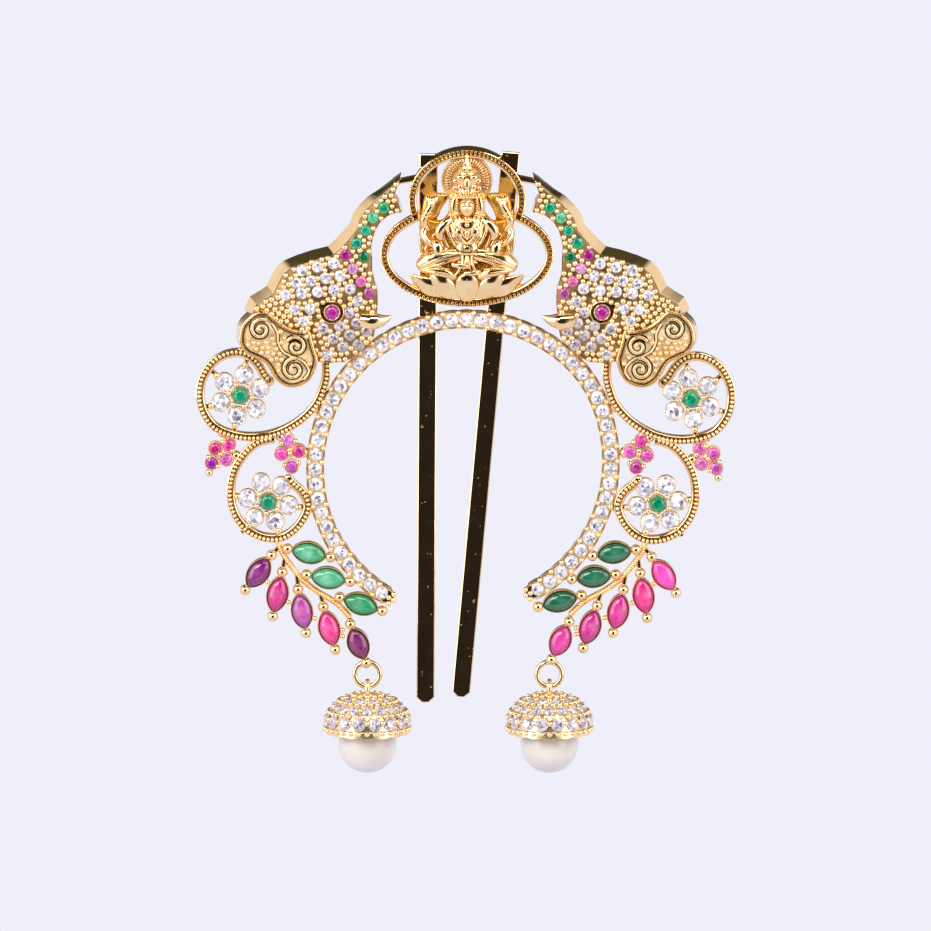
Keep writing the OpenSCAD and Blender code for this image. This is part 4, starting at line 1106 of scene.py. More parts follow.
for side, change in BRANCHES.items():
    for name, four in CLUSTERS.items():
        four = np.array(four)
        middle = four.mean(0)
        halfway = (four[[0, 1, 3, 2]] + four[[1, 3, 2, 0]]) / 2
        out = halfway - middle
        out /= np.linalg.norm(out, axis=1, keepdims=True)
        held = together(
            copies(BALL, with_depth(halfway + out * 0.56, 1.4), 0.3), copies(BALL, [(*middle, 1.5)], 0.3),
        )
        cups = together(copies(cluster_cup, with_depth(four, 0)), copies(cluster_middle, [(*middle, 0)]))
        whole = f"{side}_{name}"
        piece(f"{whole}_cups", moved(cups, change), cast_gold)
        piece(f"{whole}_beads", moved(held, change), polished_gold)
        places, tints = with_depth(four, 1.4), CLUSTER_TINTS[whole]
        stones(f"{whole}_cut", places, 0.7, (whole,), change, tints)
    balls = copies(BALL, with_depth(CLUSTER_BEADS, 0.95), 0.46)
    piece(f"{side}_small_balls", moved(balls, change), polished_gold)

# %% [markdown]
# ## Leaf sprays
# Leaf-shaped stones stand in rubbed-over bezels on a stem, with a polished ball at each tip. The
# stones are nearly smooth domes, so they aren't cut into facets here: rings of the leaf's outline
# shrink while the height rises as on an ellipse. The bezel is made of the same rings.

# %% Leaves, bezels and stems
LEAF_W = 2.2
# A leaf's middle, length and angle, and for a red leaf the place where its twig leaves the stem
GREEN_LEAVES = [(-17.4, -24.7, 3.6, -11), (-15.3, -27.5, 3.6, -9), (-11.7, -30.4, 3.7, -18)]
RED_LEAVES = [
    (-23.0, -26.9, 3.6, -127, -20.8, -24.2), (-20.9, -29.3, 3.8, -102, -20.1, -25.3),
    (-18.2, -31.2, 3.7, -80, -18.8, -27.0), (-15.2, -33.1, 3.7, -75, -16.2, -29.3),
    (-12.0, -34.8, 3.4, -68, -13.0, -31.8),
]
LINK_BEADS = [(-22.0, -27.95), (-19.7, -30.2), (-16.8, -32.0), (-13.7, -33.3), (-13.75, -34.0)]
STEM = [
    (-20.9, -23.0), (-20.5, -24.5), (-19.4, -26.2), (-18.3, -27.6), (-16.6, -29.0), (-14.5, -30.3),
    (-13.0, -31.8),
]
stem_profile = both_ways([(0.24, 0.3), (0.31, 0.42), (0.31, 0.9), (0.2, 1.05), (0, 1.1)])
twig_profile = both_ways([(0.2, 0.35), (0.28, 0.46), (0.28, 0.9), (0.18, 1.07), (0, 1.12)])


def leaf_outline(length, width, n=16):
    """A leaf with soft ends: the half width is the cosine of the way along, to the power of 1.4."""
    s = np.pi / 2 - np.pi * np.arange(n) / n
    arc = np.stack([length / 2 * np.sin(s), width / 2 * np.cos(s) ** 1.4], -1)
    return np.vstack([arc, -arc])


def leaf_rings(levels):
    """A closed skin of leaf-shaped rings: each level is a length, a width and a depth."""
    return skin_of_grid(np.array([with_depth(leaf_outline(l, w), d) for l, w, d in levels]))


def leaf_stone(length):
    """A domed leaf stone: rings shrink by the cosine while the height rises by the sine."""
    a = np.radians([0, 14, 28, 42, 56, 68, 78, 86])
    w = LEAF_W - 0.12
    dome = [(length * np.cos(t) ** 0.9, w * np.cos(t), 1.42 + 0.56 * np.sin(t)) for t in a]
    return leaf_rings([(length * 0.7, 0.7 * w, 0.95), (length, w, 1.3)] + dome)


def leaf_bezel(length):
    """The cup and its thin rubbed-over lip round a leaf stone: how much shorter and narrower than
    the bezel's largest ring each ring is, and its depth."""
    l, w = length + 0.4, LEAF_W + 0.34
    rings = [
        (0.25, 0.2, 0.2), (0.02, 0.02, 0.3), (0, 0, 0.9), (0, 0, 1.38), (0.05, 0.04, 1.48),
        (0.13, 0.12, 1.54), (0.24, 0.22, 1.5), (0.34, 0.32, 1.36), (0.5, 0.5, 1.0),
    ]
    return leaf_rings([(l - less, w - thinner, depth) for less, thinner, depth in rings])


def laid(skin, leaf):
    """A skin turned in the drawing's plane by a leaf's angle and set at the leaf's middle."""
    a = np.radians(leaf[3])
    x, z, w = skin[0].T
    across_it, up_it = x * np.cos(a) - z * np.sin(a), x * np.sin(a) + z * np.cos(a)
    return np.stack([across_it + leaf[0], up_it + leaf[1], w], -1), skin[1]


def leaf_tips(leaf):
    """The two places just beyond a leaf's ends."""
    way = np.array([np.cos(np.radians(leaf[3])), np.sin(np.radians(leaf[3]))])
    return np.array(leaf[:2]) + np.array([[-1.0], [1.0]]) * way * (leaf[2] / 2 + 0.62)


stem_line = curve(STEM, 5)
spray = [
    carried(stem_line, stem_profile), grains_along(stem_line, 0.2, 1.05, 0.3, turn=0.7),
    copies(BALL, with_depth(LINK_BEADS, 1.25), 0.28),
]
bezels = []
for leaf in GREEN_LEAVES + RED_LEAVES:
    bezels.append(laid(leaf_bezel(leaf[2]), leaf))
    spray.append(copies(BALL, with_depth(leaf_tips(leaf), 1.2), 0.61))
    if len(leaf) > 4:
        spray.append(carried(np.array([leaf[4:], leaf_tips(leaf)[0]]), twig_profile))
print("leaves a side:", len(bezels))

# %% [markdown]
# ## Colours of the leaves
# A domed stone of coloured glass is darker towards its edge and pale where its inner face throws
# the light back. Both are painted: a painted shade towards the edge, and a painted glow, pale as milk,
# up and left of the middle. Each point of a dome gets its tint from its place on the leaf, as a colour
# attribute that the finish reads. The greens are darker on the right side, as on the pin.

# %% Sprays on both sides
LEAF_TINTS = {
    "left_green": [(0.03, 0.30, 0.13), (0.04, 0.34, 0.17), (0.003, 0.24, 0.08)],
    "right_green": [(0.002, 0.12, 0.05), (0.002, 0.105, 0.045), (0.001, 0.095, 0.04)],
    "left_red": [
        (0.17, 0.004, 0.14), (0.46, 0.004, 0.17), (0.36, 0.05, 0.28), (0.62, 0.02, 0.20), (0.15, 0.003, 0.08),
    ],
    "right_red": [
        (0.74, 0.05, 0.36), (0.62, 0.012, 0.18), (0.52, 0.006, 0.20), (0.44, 0.006, 0.19), (0.54, 0.03, 0.24),
    ],
}
# The pale colour of each kind's painted glow, and how much of it shows in each leaf
PAINTED_GLOW_TINTS = {"green": (0.42, 0.70, 0.55), "red": (0.80, 0.45, 0.66)}
PAINTED_GLOW_SHARES = {
    "left_green": (0.5, 0.5, 0.25), "right_green": (0.1, 0.1, 0.1),
    "left_red": (0.1, 0.25, 0.25, 0.25, 0.1), "right_red": (0.1, 0.25, 0.25, 0.25, 0.1),
}
LEAF_KINDS = [("green", GREEN_LEAVES, "green_stone"), ("red", RED_LEAVES, "magenta_stone")]


def leaf_tints(points, leaf, rgb, glow_colour, share):
    """Painted shade at the leaf's edge, its own colour within, and a painted glow, a pale patch up and
    left of its middle, which fades with the square of the distance."""
    a = np.radians(leaf[3])
    x, z = points[:, 0] - leaf[0], points[:, 1] - leaf[1]
    along = (x * np.cos(a) + z * np.sin(a)) / (leaf[2] / 2)
    over = (z * np.cos(a) - x * np.sin(a)) / (LEAF_W / 2)
    depth_in = np.clip(1 - along**2 - over**2, 0, 1)[:, None]
    # Painted shade towards the edge and a painted glow up and left of the middle
    patch = (np.exp(-((x + 0.22) ** 2 + (z - 0.1) ** 2) / 0.42) * share)[:, None]
    return np.asarray(rgb) * (0.65 + 0.75 * depth_in) * (1 - patch) + np.asarray(glow_colour) * patch


for side, change in BRANCHES.items():
    piece(f"{side}_spray", moved(together(*spray), change), polished_gold)
    piece(f"{side}_leaf_bezels", moved(together(*bezels), change), bead_gold)
    for kind, leaves, slot in LEAF_KINDS:
        tints, shares = LEAF_TINTS[f"{side}_{kind}"], PAINTED_GLOW_SHARES[f"{side}_{kind}"]
        for k, leaf in enumerate(leaves):
            made = laid(leaf_stone(leaf[2]), leaf)
            tint = leaf_tints(made[0], leaf, tints[k], PAINTED_GLOW_TINTS[kind], shares[k])
            stands_for = (f"{side}_{kind}_leaf_{k + 1}",)
            name = f"{side}_{kind}_leaf_dome_{k + 1}"
            piece(name, moved(made, change), colour_stone, "pin", stands_for, 50, tint)

# %% [markdown]
# ## Hair prongs
# The two prongs are flat strips with softened edges and clipped tips, polished to a mirror that
# has picked up fine scratches along its length. A strip is six corners pushed in and out at a few
# depths. Its broad faces have many corners, and they only stay flat in their shading because every
# edge sharper than ten degrees is kept crisp.

# %% Prongs
PRONG_T, TIP_CUT = 1.0, 0.6


def prong(top, tip):
    """A strip from top to tip, 2 mm wide, its tip clipped, with its edges rounded over 0.1 mm."""
    top, tip = np.array(top), np.array(tip)
    way = (tip - top) / np.linalg.norm(tip - top)
    side = np.array([-way[1], way[0]])
    neck = tip - way * TIP_CUT
    point = side * 0.35
    corners = np.array([top - side, top + side, neck + side, tip + point, tip - point, neck - side])
    edge = [(0.1, 0.0), (0.03, 0.03), (0.0, 0.1)]
    levels = [(d, w - PRONG_T) for d, w in edge] + [(d, -w) for d, w in edge[::-1]]
    return skin_of_grid(np.array([with_depth(corners - outward(corners) * d, w) for d, w in levels]))


for side, top, tip in (("left", (-4.2, 19.3), (-4.6, -41.6)), ("right", (4.8, 19.5), (-0.7, -41.0))):
    piece(f"{side}_prong_strip", prong(top, tip), prong_gold, "pin", (f"{side}_prong",), 10)

# %% [markdown]
# ## Pearl lustre
# An imitation pearl is a glass bead under many coats of pearl essence. It has a soft cream body, a
# painted sheen that turns it grey towards its edges, and a clear, slightly blurred highlight. A
# picture of a pearl would slide as the drop swings, so the body's clouds are noise on the bead
# itself, and the painted sheen is a Layer Weight between two colours.

# %% Pearl finish
pearl = bpy.data.materials.new("pearl")
pearl.use_nodes = True
tree = pearl.node_tree
shader = tree.nodes["Principled BSDF"]
for name, value in (
    ("Roughness", 0.3), ("IOR", 1.5), ("Coat Weight", 0.35), ("Coat Roughness", 0.1),
    ("Subsurface Weight", 0.15), ("Subsurface Radius", (0.0012, 0.0010, 0.0008)),
):
    shader.inputs[name].default_value = value
coords = tree.nodes.new("ShaderNodeTexCoord").outputs["Object"]
tone = ramp(tree, [(0.35, (0.72, 0.65, 0.59)), (0.65, (0.83, 0.78, 0.72))])
tree.links.new(noise(tree, coords, 260, 3), tone.inputs["Fac"])
# Painted sheen: the base colour turns grey where the surface turns away from the view
edge = tree.nodes.new("ShaderNodeLayerWeight")
edge.inputs["Blend"].default_value = 0.35
painted_edge_sheen = mixed(tree, edge.outputs["Facing"], tone.outputs["Color"], (0.62, 0.59, 0.60))
tree.links.new(painted_edge_sheen, shader.inputs["Base Color"])
print("nodes in the pearl's finish:", len(tree.nodes))

# %% [markdown]
# ## A swinging drop
# A round wire ring on the frame carries the loop of a hollow domed cap. The cap has a band with a
# scalloped lower edge, three rows of stones, and rows of prong beads between them, and the pearl
# sits half inside it. Stones on a dome look out square to it, so each copy is tipped by its row's
# angle and then carried round the axis. Heights count from the line between band and dome.

# %% Shapes of a drop
CAP_R, CAP_H, TOP_R, BAND_H = 4.65, 3.4, 0.9, 0.9
INNER_H = CAP_H - 0.6
PEARL_R = 3.2


def dome_radius(h):
    """The dome's radius at a height: a quarter of an ellipse set on a small disc."""
    return TOP_R + (CAP_R - TOP_R) * np.sqrt(np.clip(1 - (h / CAP_H) ** 2, 0, 1))


def wire_ring(radius, wire, around=48, sides=16):
    """A round wire bent into a ring: a circle carried round a circle."""
    along, about = (2 * np.pi * np.arange(n) / n for n in (around, sides))
    u, v = np.meshgrid(along, about, indexing="ij")
    r = radius + wire * np.cos(v)
    return skin_of_grid(np.stack([r * np.cos(u), r * np.sin(u), wire * np.sin(v)], -1), loop=True)


def upright(points):
    """A shape turned about the depth axis is set up to turn about the drop's upright axis instead."""
    p = np.asarray(points, float)
    return np.stack([p[..., 0], p[..., 2], -p[..., 1]], -1)


def sized(skin, size):
    """A skin made larger or smaller, by one number or by three."""
    return skin[0] * size, skin[1]


def round_the_dome(skin, row_angle, count, out=0.0, phase=0.5):
    """Copies of a skin looking out of the dome in one row: tipped by the row's angle, then carried
    round the upright axis. The skin's own z looks outwards, its x lies along the row and its y up
    the dome."""
    points, faces = skin
    tip = np.radians(row_angle)
    h = CAP_H * np.sin(tip)
    radial = dome_radius(h) + out * np.cos(tip) + points[:, 2] * np.cos(tip) - points[:, 1] * np.sin(tip)
    height = h + out * np.sin(tip) + points[:, 2] * np.sin(tip) + points[:, 1] * np.cos(tip)
    turn = 2 * np.pi * (np.arange(count) + phase) / count
    c, s = np.cos(turn)[:, None], np.sin(turn)[:, None]
    x = radial[None] * c - points[None, :, 0] * s
    w = -(radial[None] * s + points[None, :, 0] * c)
    p = np.stack([x, np.broadcast_to(height, x.shape), w], -1)
    step = np.arange(count)[:, None, None] * len(points)
    return p.reshape(-1, 3), [(f[None] + step).reshape(-1, f.shape[1]) for f in faces]


band_line = [
    (CAP_R - 0.6, -0.84), (CAP_R - 0.5, -BAND_H), (CAP_R - 0.06, -BAND_H), (CAP_R, -0.84), (CAP_R, -0.16),
    (CAP_R - 0.05, -0.06), (CAP_R - 0.14, 0.0),
]
arc = CAP_H * np.sin(np.radians(np.linspace(8, 88, 11)))
dome_outer = [(dome_radius(h) - 0.12, h) for h in arc] + [(0.6, CAP_H - 0.02)]
dome_inner = [(0.5, INNER_H)] + [(max(0.5, dome_radius(h) - 0.62), h * INNER_H / CAP_H) for h in arc[::-1]]


def cap_skin():
    """The band and dome as a closed ring of outer and inner profile, whose lower edge rises a little
    between sixteen scallops, and the collar on top."""
    r, h = np.array(band_line + dome_outer + dome_inner).T
    angle = 2 * np.pi * np.arange(128) / 128
    rise = 0.16 * (1 - np.abs(np.cos(8 * angle)))
    height = h[:, None] + np.where(h < -0.8, 1.0, 0.0)[:, None] * rise
    grid = np.stack([r[:, None] * np.cos(angle), height, -r[:, None] * np.sin(angle)], -1)
    top = turned([(0.6, 3.2), (0.72, 3.3), (0.72, 3.5), (0.56, 3.66), (0.3, 3.7)], 24)
    return together(skin_of_grid(grid, loop=True), moved(top, upright))


cap_shell = cap_skin()
print("the cap's shell has", sum(len(f) for f in cap_shell[1]), "faces")

# %% [markdown]
# ## Two drops
# The hanging ring belongs to the frame and all else to the drop's own body, so that it swings. The
# loop stands square to the ring. The lowest row of stones stands in for the CAD's own row, and the
# two rows above it are added. The stones in the shade of a dome are duller than those in the ring.

# %% Drops
DROPS = {"left": (-11.0, -38.3), "right": (9.1, -38.3)}
DROP_DEPTH, LOOP_BELOW, RIM_BELOW, PEARL_BELOW = 0.8, 1.55, 5.7, 7.8
# Stones: angle up the dome, how many, radius, how far out and their turn
CAP_ROWS = [(13, 16, 0.76, -0.02, 0.5), (40, 16, 0.62, -0.06, 0.0), (65, 10, 0.58, -0.06, 0.0)]
CAP_SHADE = [0.9, 0.84, 0.83]
# Prong beads: angle up the dome, how many, radius and their turn
CAP_BEADS = [
    (-5, 32, 0.3, 0.0), (15, 16, 0.34, 0.0), (27, 32, 0.32, 0.5), (40, 16, 0.27, 0.5), (53, 26, 0.3, 0.0),
    (66, 10, 0.29, 0.5), (79, 12, 0.3, 0.0),
]
cap_beads = together(*[
    round_the_dome(sized(GRAIN, radius), up, count, 0.04, phase) for up, count, radius, phase in CAP_BEADS
])
hanging_ring, loop_wire = wire_ring(1.37, 0.29), moved(wire_ring(0.75, 0.31), lambda p: p[:, [2, 1, 0]])
pearl_ball = sized(ball(72, 36), PEARL_R)
for side, (x, z) in DROPS.items():
    body = f"{side}_drop"
    at = np.array([x, z - RIM_BELOW, DROP_DEPTH])
    loop = shifted(loop_wire, [x, z - LOOP_BELOW, DROP_DEPTH])
    piece(f"{side}_hanging_ring", shifted(hanging_ring, [x, z, DROP_DEPTH]), polished_gold)
    shell = together(shifted(cap_shell, at), loop)
    piece(f"{side}_cap_shell", shell, bead_gold, body=body, stands_for=(f"{side}_cap",))
    piece(f"{side}_cap_beads", shifted(cap_beads, at), bead_gold, body=body)
    for number, (up, count, radius, out, phase) in enumerate(CAP_ROWS, 1):
        row = shifted(round_the_dome(sized(BRILLIANT, radius), up, count, out, phase), at)
        stands_for = (f"{side}_cap_stones",) if number == 1 else ()
        tint = white_tints(facet_shades(count, 0, 1) * 0.9) * CAP_SHADE
        piece(f"{side}_cap_row_{number}", row, white_stone, body, stands_for, 0, tint)
    bead = shifted(pearl_ball, [x, z - PEARL_BELOW, DROP_DEPTH])
    piece(f"{side}_pearl_ball", bead, pearl, body, (f"{side}_pearl",), 180)

# %% [markdown]
# ## The lotus
# In the trefoil sits a cast figure on a lotus, in high relief. Each petal is a limb flattened in
# depth, wide in its middle and pointed at its end, and the petals lean forward as they rise, so
# that their tops catch the pale floor and the feet stay darker.

# %% Lotus petals
PETAL_LEAN, LEANS_FROM = 0.36, 4.6


def both(skin):
    """A skin with its mirror image."""
    return together(skin, moved(skin, mirrored))


def leaning(points):
    """Points brought forward by a share of their height above the petals' feet."""
    p = np.array(points)
    p[:, 2] += PETAL_LEAN * (p[:, 1] - LEANS_FROM)
    return p


def petal(rows, flat=0.55):
    """A pointed petal: a limb that is flat in depth, leaning forward."""
    return moved(limb(rows, 28, flat, 7), leaning)


# Rows of x, height, depth and radius, as in every limb
CENTRE_PETAL = [
    (0, 3.45, 1.95, 0.75), (0, 3.9, 2.0, 1.05), (0, 4.8, 2.05, 1.3), (0, 5.8, 2.0, 1.1), (0, 6.5, 1.8, 0.45),
]
SIDE_PETALS = [
    [(-0.7, 3.6, 1.5, 0.6), (-1.9, 4.4, 1.6, 1.15), (-3.0, 5.4, 1.65, 1.1), (-4.1, 6.9, 1.35, 0.08)],
    [(-1.3, 3.6, 1.2, 0.6), (-3.1, 4.3, 1.35, 1.15), (-4.6, 5.1, 1.4, 1.0), (-6.3, 6.2, 1.15, 0.08)],
    [(-1.8, 3.4, 0.9, 0.4), (-3.6, 3.8, 1.0, 0.75), (-4.9, 4.4, 1.0, 0.6), (-6.1, 5.1, 0.9, 0.06)],
]
midrib = moved(limb([(0, 3.4, 2.28, 0.05), (0, 4.6, 2.4, 0.07), (0, 5.8, 2.32, 0.05)], 10), leaning)
side_petals = [both(petal(rows)) for rows in SIDE_PETALS]
piece("lotus", together(petal(CENTRE_PETAL, 0.3), midrib, *side_petals), polished_gold)

# %% [markdown]
# ## Small forms for the figure
# Casting rounds every form, so the figure is built of smooth limbs and strings of grains and not
# sculpted. Four helpers make its details: rays, strings of grains, a row of grains round a form,
# and a thin fold of cloth.

# %% Rays, strings and folds
def rays(count, inner, outer, first, last, middle=16.5):
    """Long grains that point away from the head, side by side on the halo."""
    a = np.radians(np.linspace(first, last, count))
    mid = (inner + outer) / 2
    spots = np.stack([mid * np.cos(a), middle + mid * np.sin(a), np.full(count, 1.25)], -1)
    sizes = np.tile([(outer - inner) / 2, 0.13, 0.18], (count, 1))
    return copies(ball(8, 6), spots, sizes, a)


def string(points, radius, pitch):
    """Grains strung along a line of x, height and depth."""
    return copies(GRAIN, even(curve(points, 6), pitch), radius)


def hung(half, radius, pitch):
    """A string hung evenly across the figure, from its left half, which ends on the middle line."""
    return string(half + [(-x, height, depth) for x, height, depth in half[-2::-1]], radius, pitch)


def round_row(radius, height, depth, size, count, reach=80, squash=0.7):
    """A row of grains round the front of an upright form."""
    a = np.radians(np.linspace(-reach, reach, count))
    spots = np.stack([radius * np.sin(a), np.full(count, height), depth + squash * radius * np.cos(a)], -1)
    return copies(GRAIN, spots, size)


def fold(rows, width):
    """A thin fold of cloth through points of x, height and depth, thinner at both ends."""
    ends = (0, len(rows) - 1)
    return limb([(*row, width * (0.45 if k in ends else 1)) for k, row in enumerate(rows)], 12)


print("a ray has", sum(len(f) for f in rays(1, 1.6, 2.62, 90, 90)[1]), "faces")

# %% [markdown]
# ## Halo and ground
# Behind the figure the casting is closed, so that the floor doesn't show through. The halo is a
# turned disc in the cast finish. The cloth behind the arms, the web behind each raised hand and the
# seat behind the lotus are flat plates in a deep yellow, a painted reflection of the gold round
# them, which is all that they mirror.

# %% Halo and ground
CLOTH = [
    (-1.8, 15.2), (-1.9, 13.3), (-2.9, 12.1), (-4.7, 12.3), (-5.1, 11.0), (-4.9, 9.6), (-4.6, 8.3),
    (-4.7, 7.3),
]
BEHIND_HAND = [
    (-4.5, 14.9), (-3.4, 15.1), (-2.2, 15.0), (-2.1, 14.5), (-2.8, 13.4), (-3.3, 12.4), (-4.7, 12.2),
    (-4.9, 13.4),
]
SEAT = [(-4.7, 8.0), (-4.9, 6.8), (-3.9, 5.2), (-2.4, 3.9), (-1.0, 3.3)]
ground_levels = [(0, 0.5, 0), (0, 1.15, 0), (0.1, 1.32, 0), (0.3, 1.4, 0)]
seat_levels = [(0, 0.25, 0), (0, 1.1, 0), (0.2, 1.3, 0)]


def across_middle(half):
    """A smooth closed outline from its left half."""
    return closed_curve(half + [(-x, z) for x, z in half[::-1]], 5)


halo = turned([
    (2.5, 0.4), (2.75, 0.45), (2.8, 0.7), (2.8, 1.12), (2.74, 1.24), (2.64, 1.24), (2.6, 1.12),
], 64)
cloth, seat = plate(across_middle(CLOTH), ground_levels), plate(across_middle(SEAT), seat_levels)
behind_hand = both(plate(closed_curve(BEHIND_HAND, 5), ground_levels))
piece("halo", shifted(halo, [0, 16.5, 0]), cast_gold)
# The deep yellow of the ground is painted reflection
piece("figure_ground", together(cloth, behind_hand, seat), painted_reflection_gold)

# %% [markdown]
# ## Head and crown
# The face is a plain, calm one: a ball whose front is pushed out and in by soft bumps, each a bell
# curve in both directions. The crown is a turned profile, squashed in depth, with rows of grains
# and larger beads, and two strings of grains fall on each side of the face.

# %% Face, hair and crown
FACE_SIZE, FACE_AT = (0.86, 1.08, 0.85), (0, 13.75, 2.45)
# Bumps of the face: how far out, distance from the middle and its width, height and its width
FEATURES = {
    "nose": (0.28, 0, 0.12, -0.05, 0.24), "brow": (0.1, 0.3, 0.24, 0.34, 0.07),
    "eye hollow": (-0.16, 0.34, 0.2, 0.2, 0.1), "closed lid": (0.06, 0.34, 0.14, 0.13, 0.05),
    "upper lip": (0.1, 0, 0.2, -0.42, 0.05), "lower lip": (0.07, 0, 0.17, -0.54, 0.05),
    "chin": (0.07, 0, 0.2, -0.8, 0.14), "cheek": (0.05, 0.45, 0.22, -0.2, 0.2),
}


def calm_face(width, height, depth):
    """A ball whose front is stretched by the sum of the features' bumps."""
    points, faces = ball(44, 30)
    apart, y = np.abs(points[:, 0]), points[:, 1]
    out = np.zeros(len(points))
    for size, from_middle, wide, level, tall in FEATURES.values():
        out += size * np.exp(-(((apart - from_middle) / wide) ** 2) - ((y - level) / tall) ** 2)
    stretch = 1 + out * np.clip(points[:, 2] * 3, 0, 1)
    return points * stretch[:, None] * [width, height, depth], faces


HAIR = [(-1.1, 15.0, 2.1, 0.4), (-1.4, 14.2, 2.2, 0.42), (-1.45, 13.3, 2.15, 0.4), (-1.2, 12.5, 2.0, 0.3)]
# Radius and height of the crown's tiers
TIERS = [
    (1.2, 0), (1.62, 0.06), (1.68, 0.3), (1.4, 0.45), (1.2, 0.6), (1.12, 1.2), (1.2, 1.9), (1.3, 2.2),
    (1.2, 2.5), (0.88, 2.62), (0.8, 2.9), (0.88, 3.05), (0.6, 3.25), (0.5, 3.5), (0.56, 3.62), (0.3, 3.95),
    (0.15, 4.35), (0.05, 4.5),
]
BESIDE_FACE = [
    ([(-1.78, 14.7, 2.2), (-1.88, 13.8, 2.2), (-1.8, 13.0, 2.1), (-1.6, 12.5, 2.0)], 0.17, 0.31),
    ([(-1.05, 14.4, 2.75), (-1.12, 13.7, 2.75), (-1.0, 13.1, 2.7)], 0.13, 0.24),
]
face = shifted(calm_face(*FACE_SIZE), FACE_AT)
hair = both(limb(HAIR, 16))
crown = shifted(sized(moved(turned(TIERS, 36), upright), [1, 1, 0.7]), [0, 14.6, 1.85])
crown_rows = together(
    round_row(1.68, 14.8, 1.85, 0.16, 15), round_row(1.25, 15.35, 1.85, 0.14, 11),
    round_row(0.88, 17.6, 1.85, 0.13, 9),
    copies(BALL, [(0, 16.25, 2.75), (0, 15.45, 2.85), (0, 17.35, 2.6), (0, 17.95, 2.4)],
           [[0.36, 0.72, 0.3], [0.3, 0.3, 0.24], [0.42, 0.26, 0.24], [0.22, 0.3, 0.2]]),
    both(copies(BALL, [(-0.72, 16.95, 2.55), (-1.2, 16.55, 2.3), (-0.75, 15.9, 2.55), (-1.35, 15.7, 2.1)],
                [[0.44, 0.32, 0.26], [0.38, 0.3, 0.24], [0.3, 0.34, 0.2], [0.26, 0.3, 0.2]])),
    *[both(string(*row)) for row in BESIDE_FACE],
    both(copies(BALL, [(-1.15, 13.0, 2.6), (-1.25, 12.6, 2.55)], [0.26, 0.18])),
)
top_knot = copies(BALL, [(0, 19.15, 1.35)], 0.3)
print("features of the face:", ", ".join(FEATURES))

# %% [markdown]
# ## Body, arms and legs
# The figure sits with one leg over the other, two hands raised with lotus buds and two resting. An
# arm or leg is a limb through four rows, and all that comes in pairs is drawn once on the left.

# %% Body, arms and legs
TORSO = [
    (0, 7.6, 1.5, 1.85), (0, 8.8, 1.55, 1.6), (0, 9.9, 1.65, 1.3), (0, 10.9, 1.85, 1.6), (0, 11.7, 1.9, 1.85),
    (0, 12.3, 1.75, 1.7), (0, 12.8, 1.7, 0.9), (0, 13.2, 1.8, 0.6),
]
SLEEVE = [(-1.7, 12.3, 1.9, 0.5), (-2.4, 11.8, 2.1, 0.62), (-3.0, 11.0, 2.1, 0.6), (-2.9, 10.1, 2.1, 0.4)]
RAISED = [
    (-4.45, 11.2, 1.7, 0.42), (-4.75, 12.1, 1.95, 0.46), (-4.35, 13.1, 2.1, 0.44), (-3.9, 13.8, 2.2, 0.38),
]
LOWER = [(-4.5, 11.5, 1.8, 0.42), (-4.8, 10.8, 2.0, 0.45), (-4.45, 10.1, 2.3, 0.42), (-3.75, 9.6, 2.55, 0.36)]
PALM = [(-3.6, 9.9, 2.6, 0.3), (-3.25, 9.35, 2.75, 0.56), (-3.1, 8.7, 2.8, 0.44), (-3.0, 8.25, 2.7, 0.2)]
THIGH = [(-0.6, 8.3, 1.9, 0.8), (-2.3, 8.25, 2.1, 0.92), (-4.0, 7.85, 2.05, 1.0), (-5.2, 7.15, 1.85, 0.66)]
SHIN = [(-5.1, 7.05, 1.9, 0.5), (-3.7, 6.8, 2.3, 0.6), (-2.4, 6.5, 2.5, 0.55), (-1.3, 6.0, 2.45, 0.35)]
# Each limb on the left with its points round, its flatness and its steps
PAIRS = [(RAISED, 22), (LOWER, 22), (PALM, 18, 0.6), (THIGH, 26, 0.95, 8), (SHIN, 22, 0.9, 8)]
FEET = [
    [(-1.6, 7.4, 2.75, 0.3), (-0.7, 7.3, 2.95, 0.34), (0.3, 7.15, 2.9, 0.2)],
    [(1.4, 6.6, 2.7, 0.3), (0.6, 6.5, 2.85, 0.32), (-0.3, 6.45, 2.8, 0.2)],
]


def bud_petal(s):
    """One petal of a lotus bud, s from -1 to 1 across it: the middle one stands furthest forward."""
    rows = [
        (-3.85 + s * 0.1, 14.0, 2.0, 0.2), (-3.85 + s * 0.42, 14.45, 2.0 + 0.25 * (1 - abs(s)), 0.3),
        (-3.85 + s * 0.55, 15.0, 1.9, 0.05),
    ]
    return limb(rows, 12, 0.8)


def finger(s):
    """One finger of a raised hand, s millimetres from the hand's middle at its root."""
    rows = [
        (-3.9 + s, 13.9, 2.4, 0.12), (-3.88 + s * 0.8, 14.25, 2.42, 0.12), (-3.86 + s * 0.5, 14.5, 2.3, 0.08),
    ]
    return limb(rows, 8)


torso = limb(TORSO, 36, 0.62, 8)
sleeves = both(limb(SLEEVE, 22))
limbs = [both(limb(*made)) for made in PAIRS]
feet = together(*[limb(rows, 16) for rows in FEET])
bud = together(*[bud_petal(s) for s in (-1, -0.5, 0, 0.5, 1)])
hand = together(copies(BALL, [(-3.9, 13.85, 2.15)], [[0.42, 0.34, 0.36]]),
                *[finger(s) for s in (-0.27, -0.09, 0.09, 0.27)])
print("limbs in pairs:", len(limbs) + 1)

# %% [markdown]
# ## Jewels and folds
# Necklaces, a belt, bracelets and armlets are strings of grains. The clothes are thin folds that
# follow the body, as raised lines on the limbs beneath.

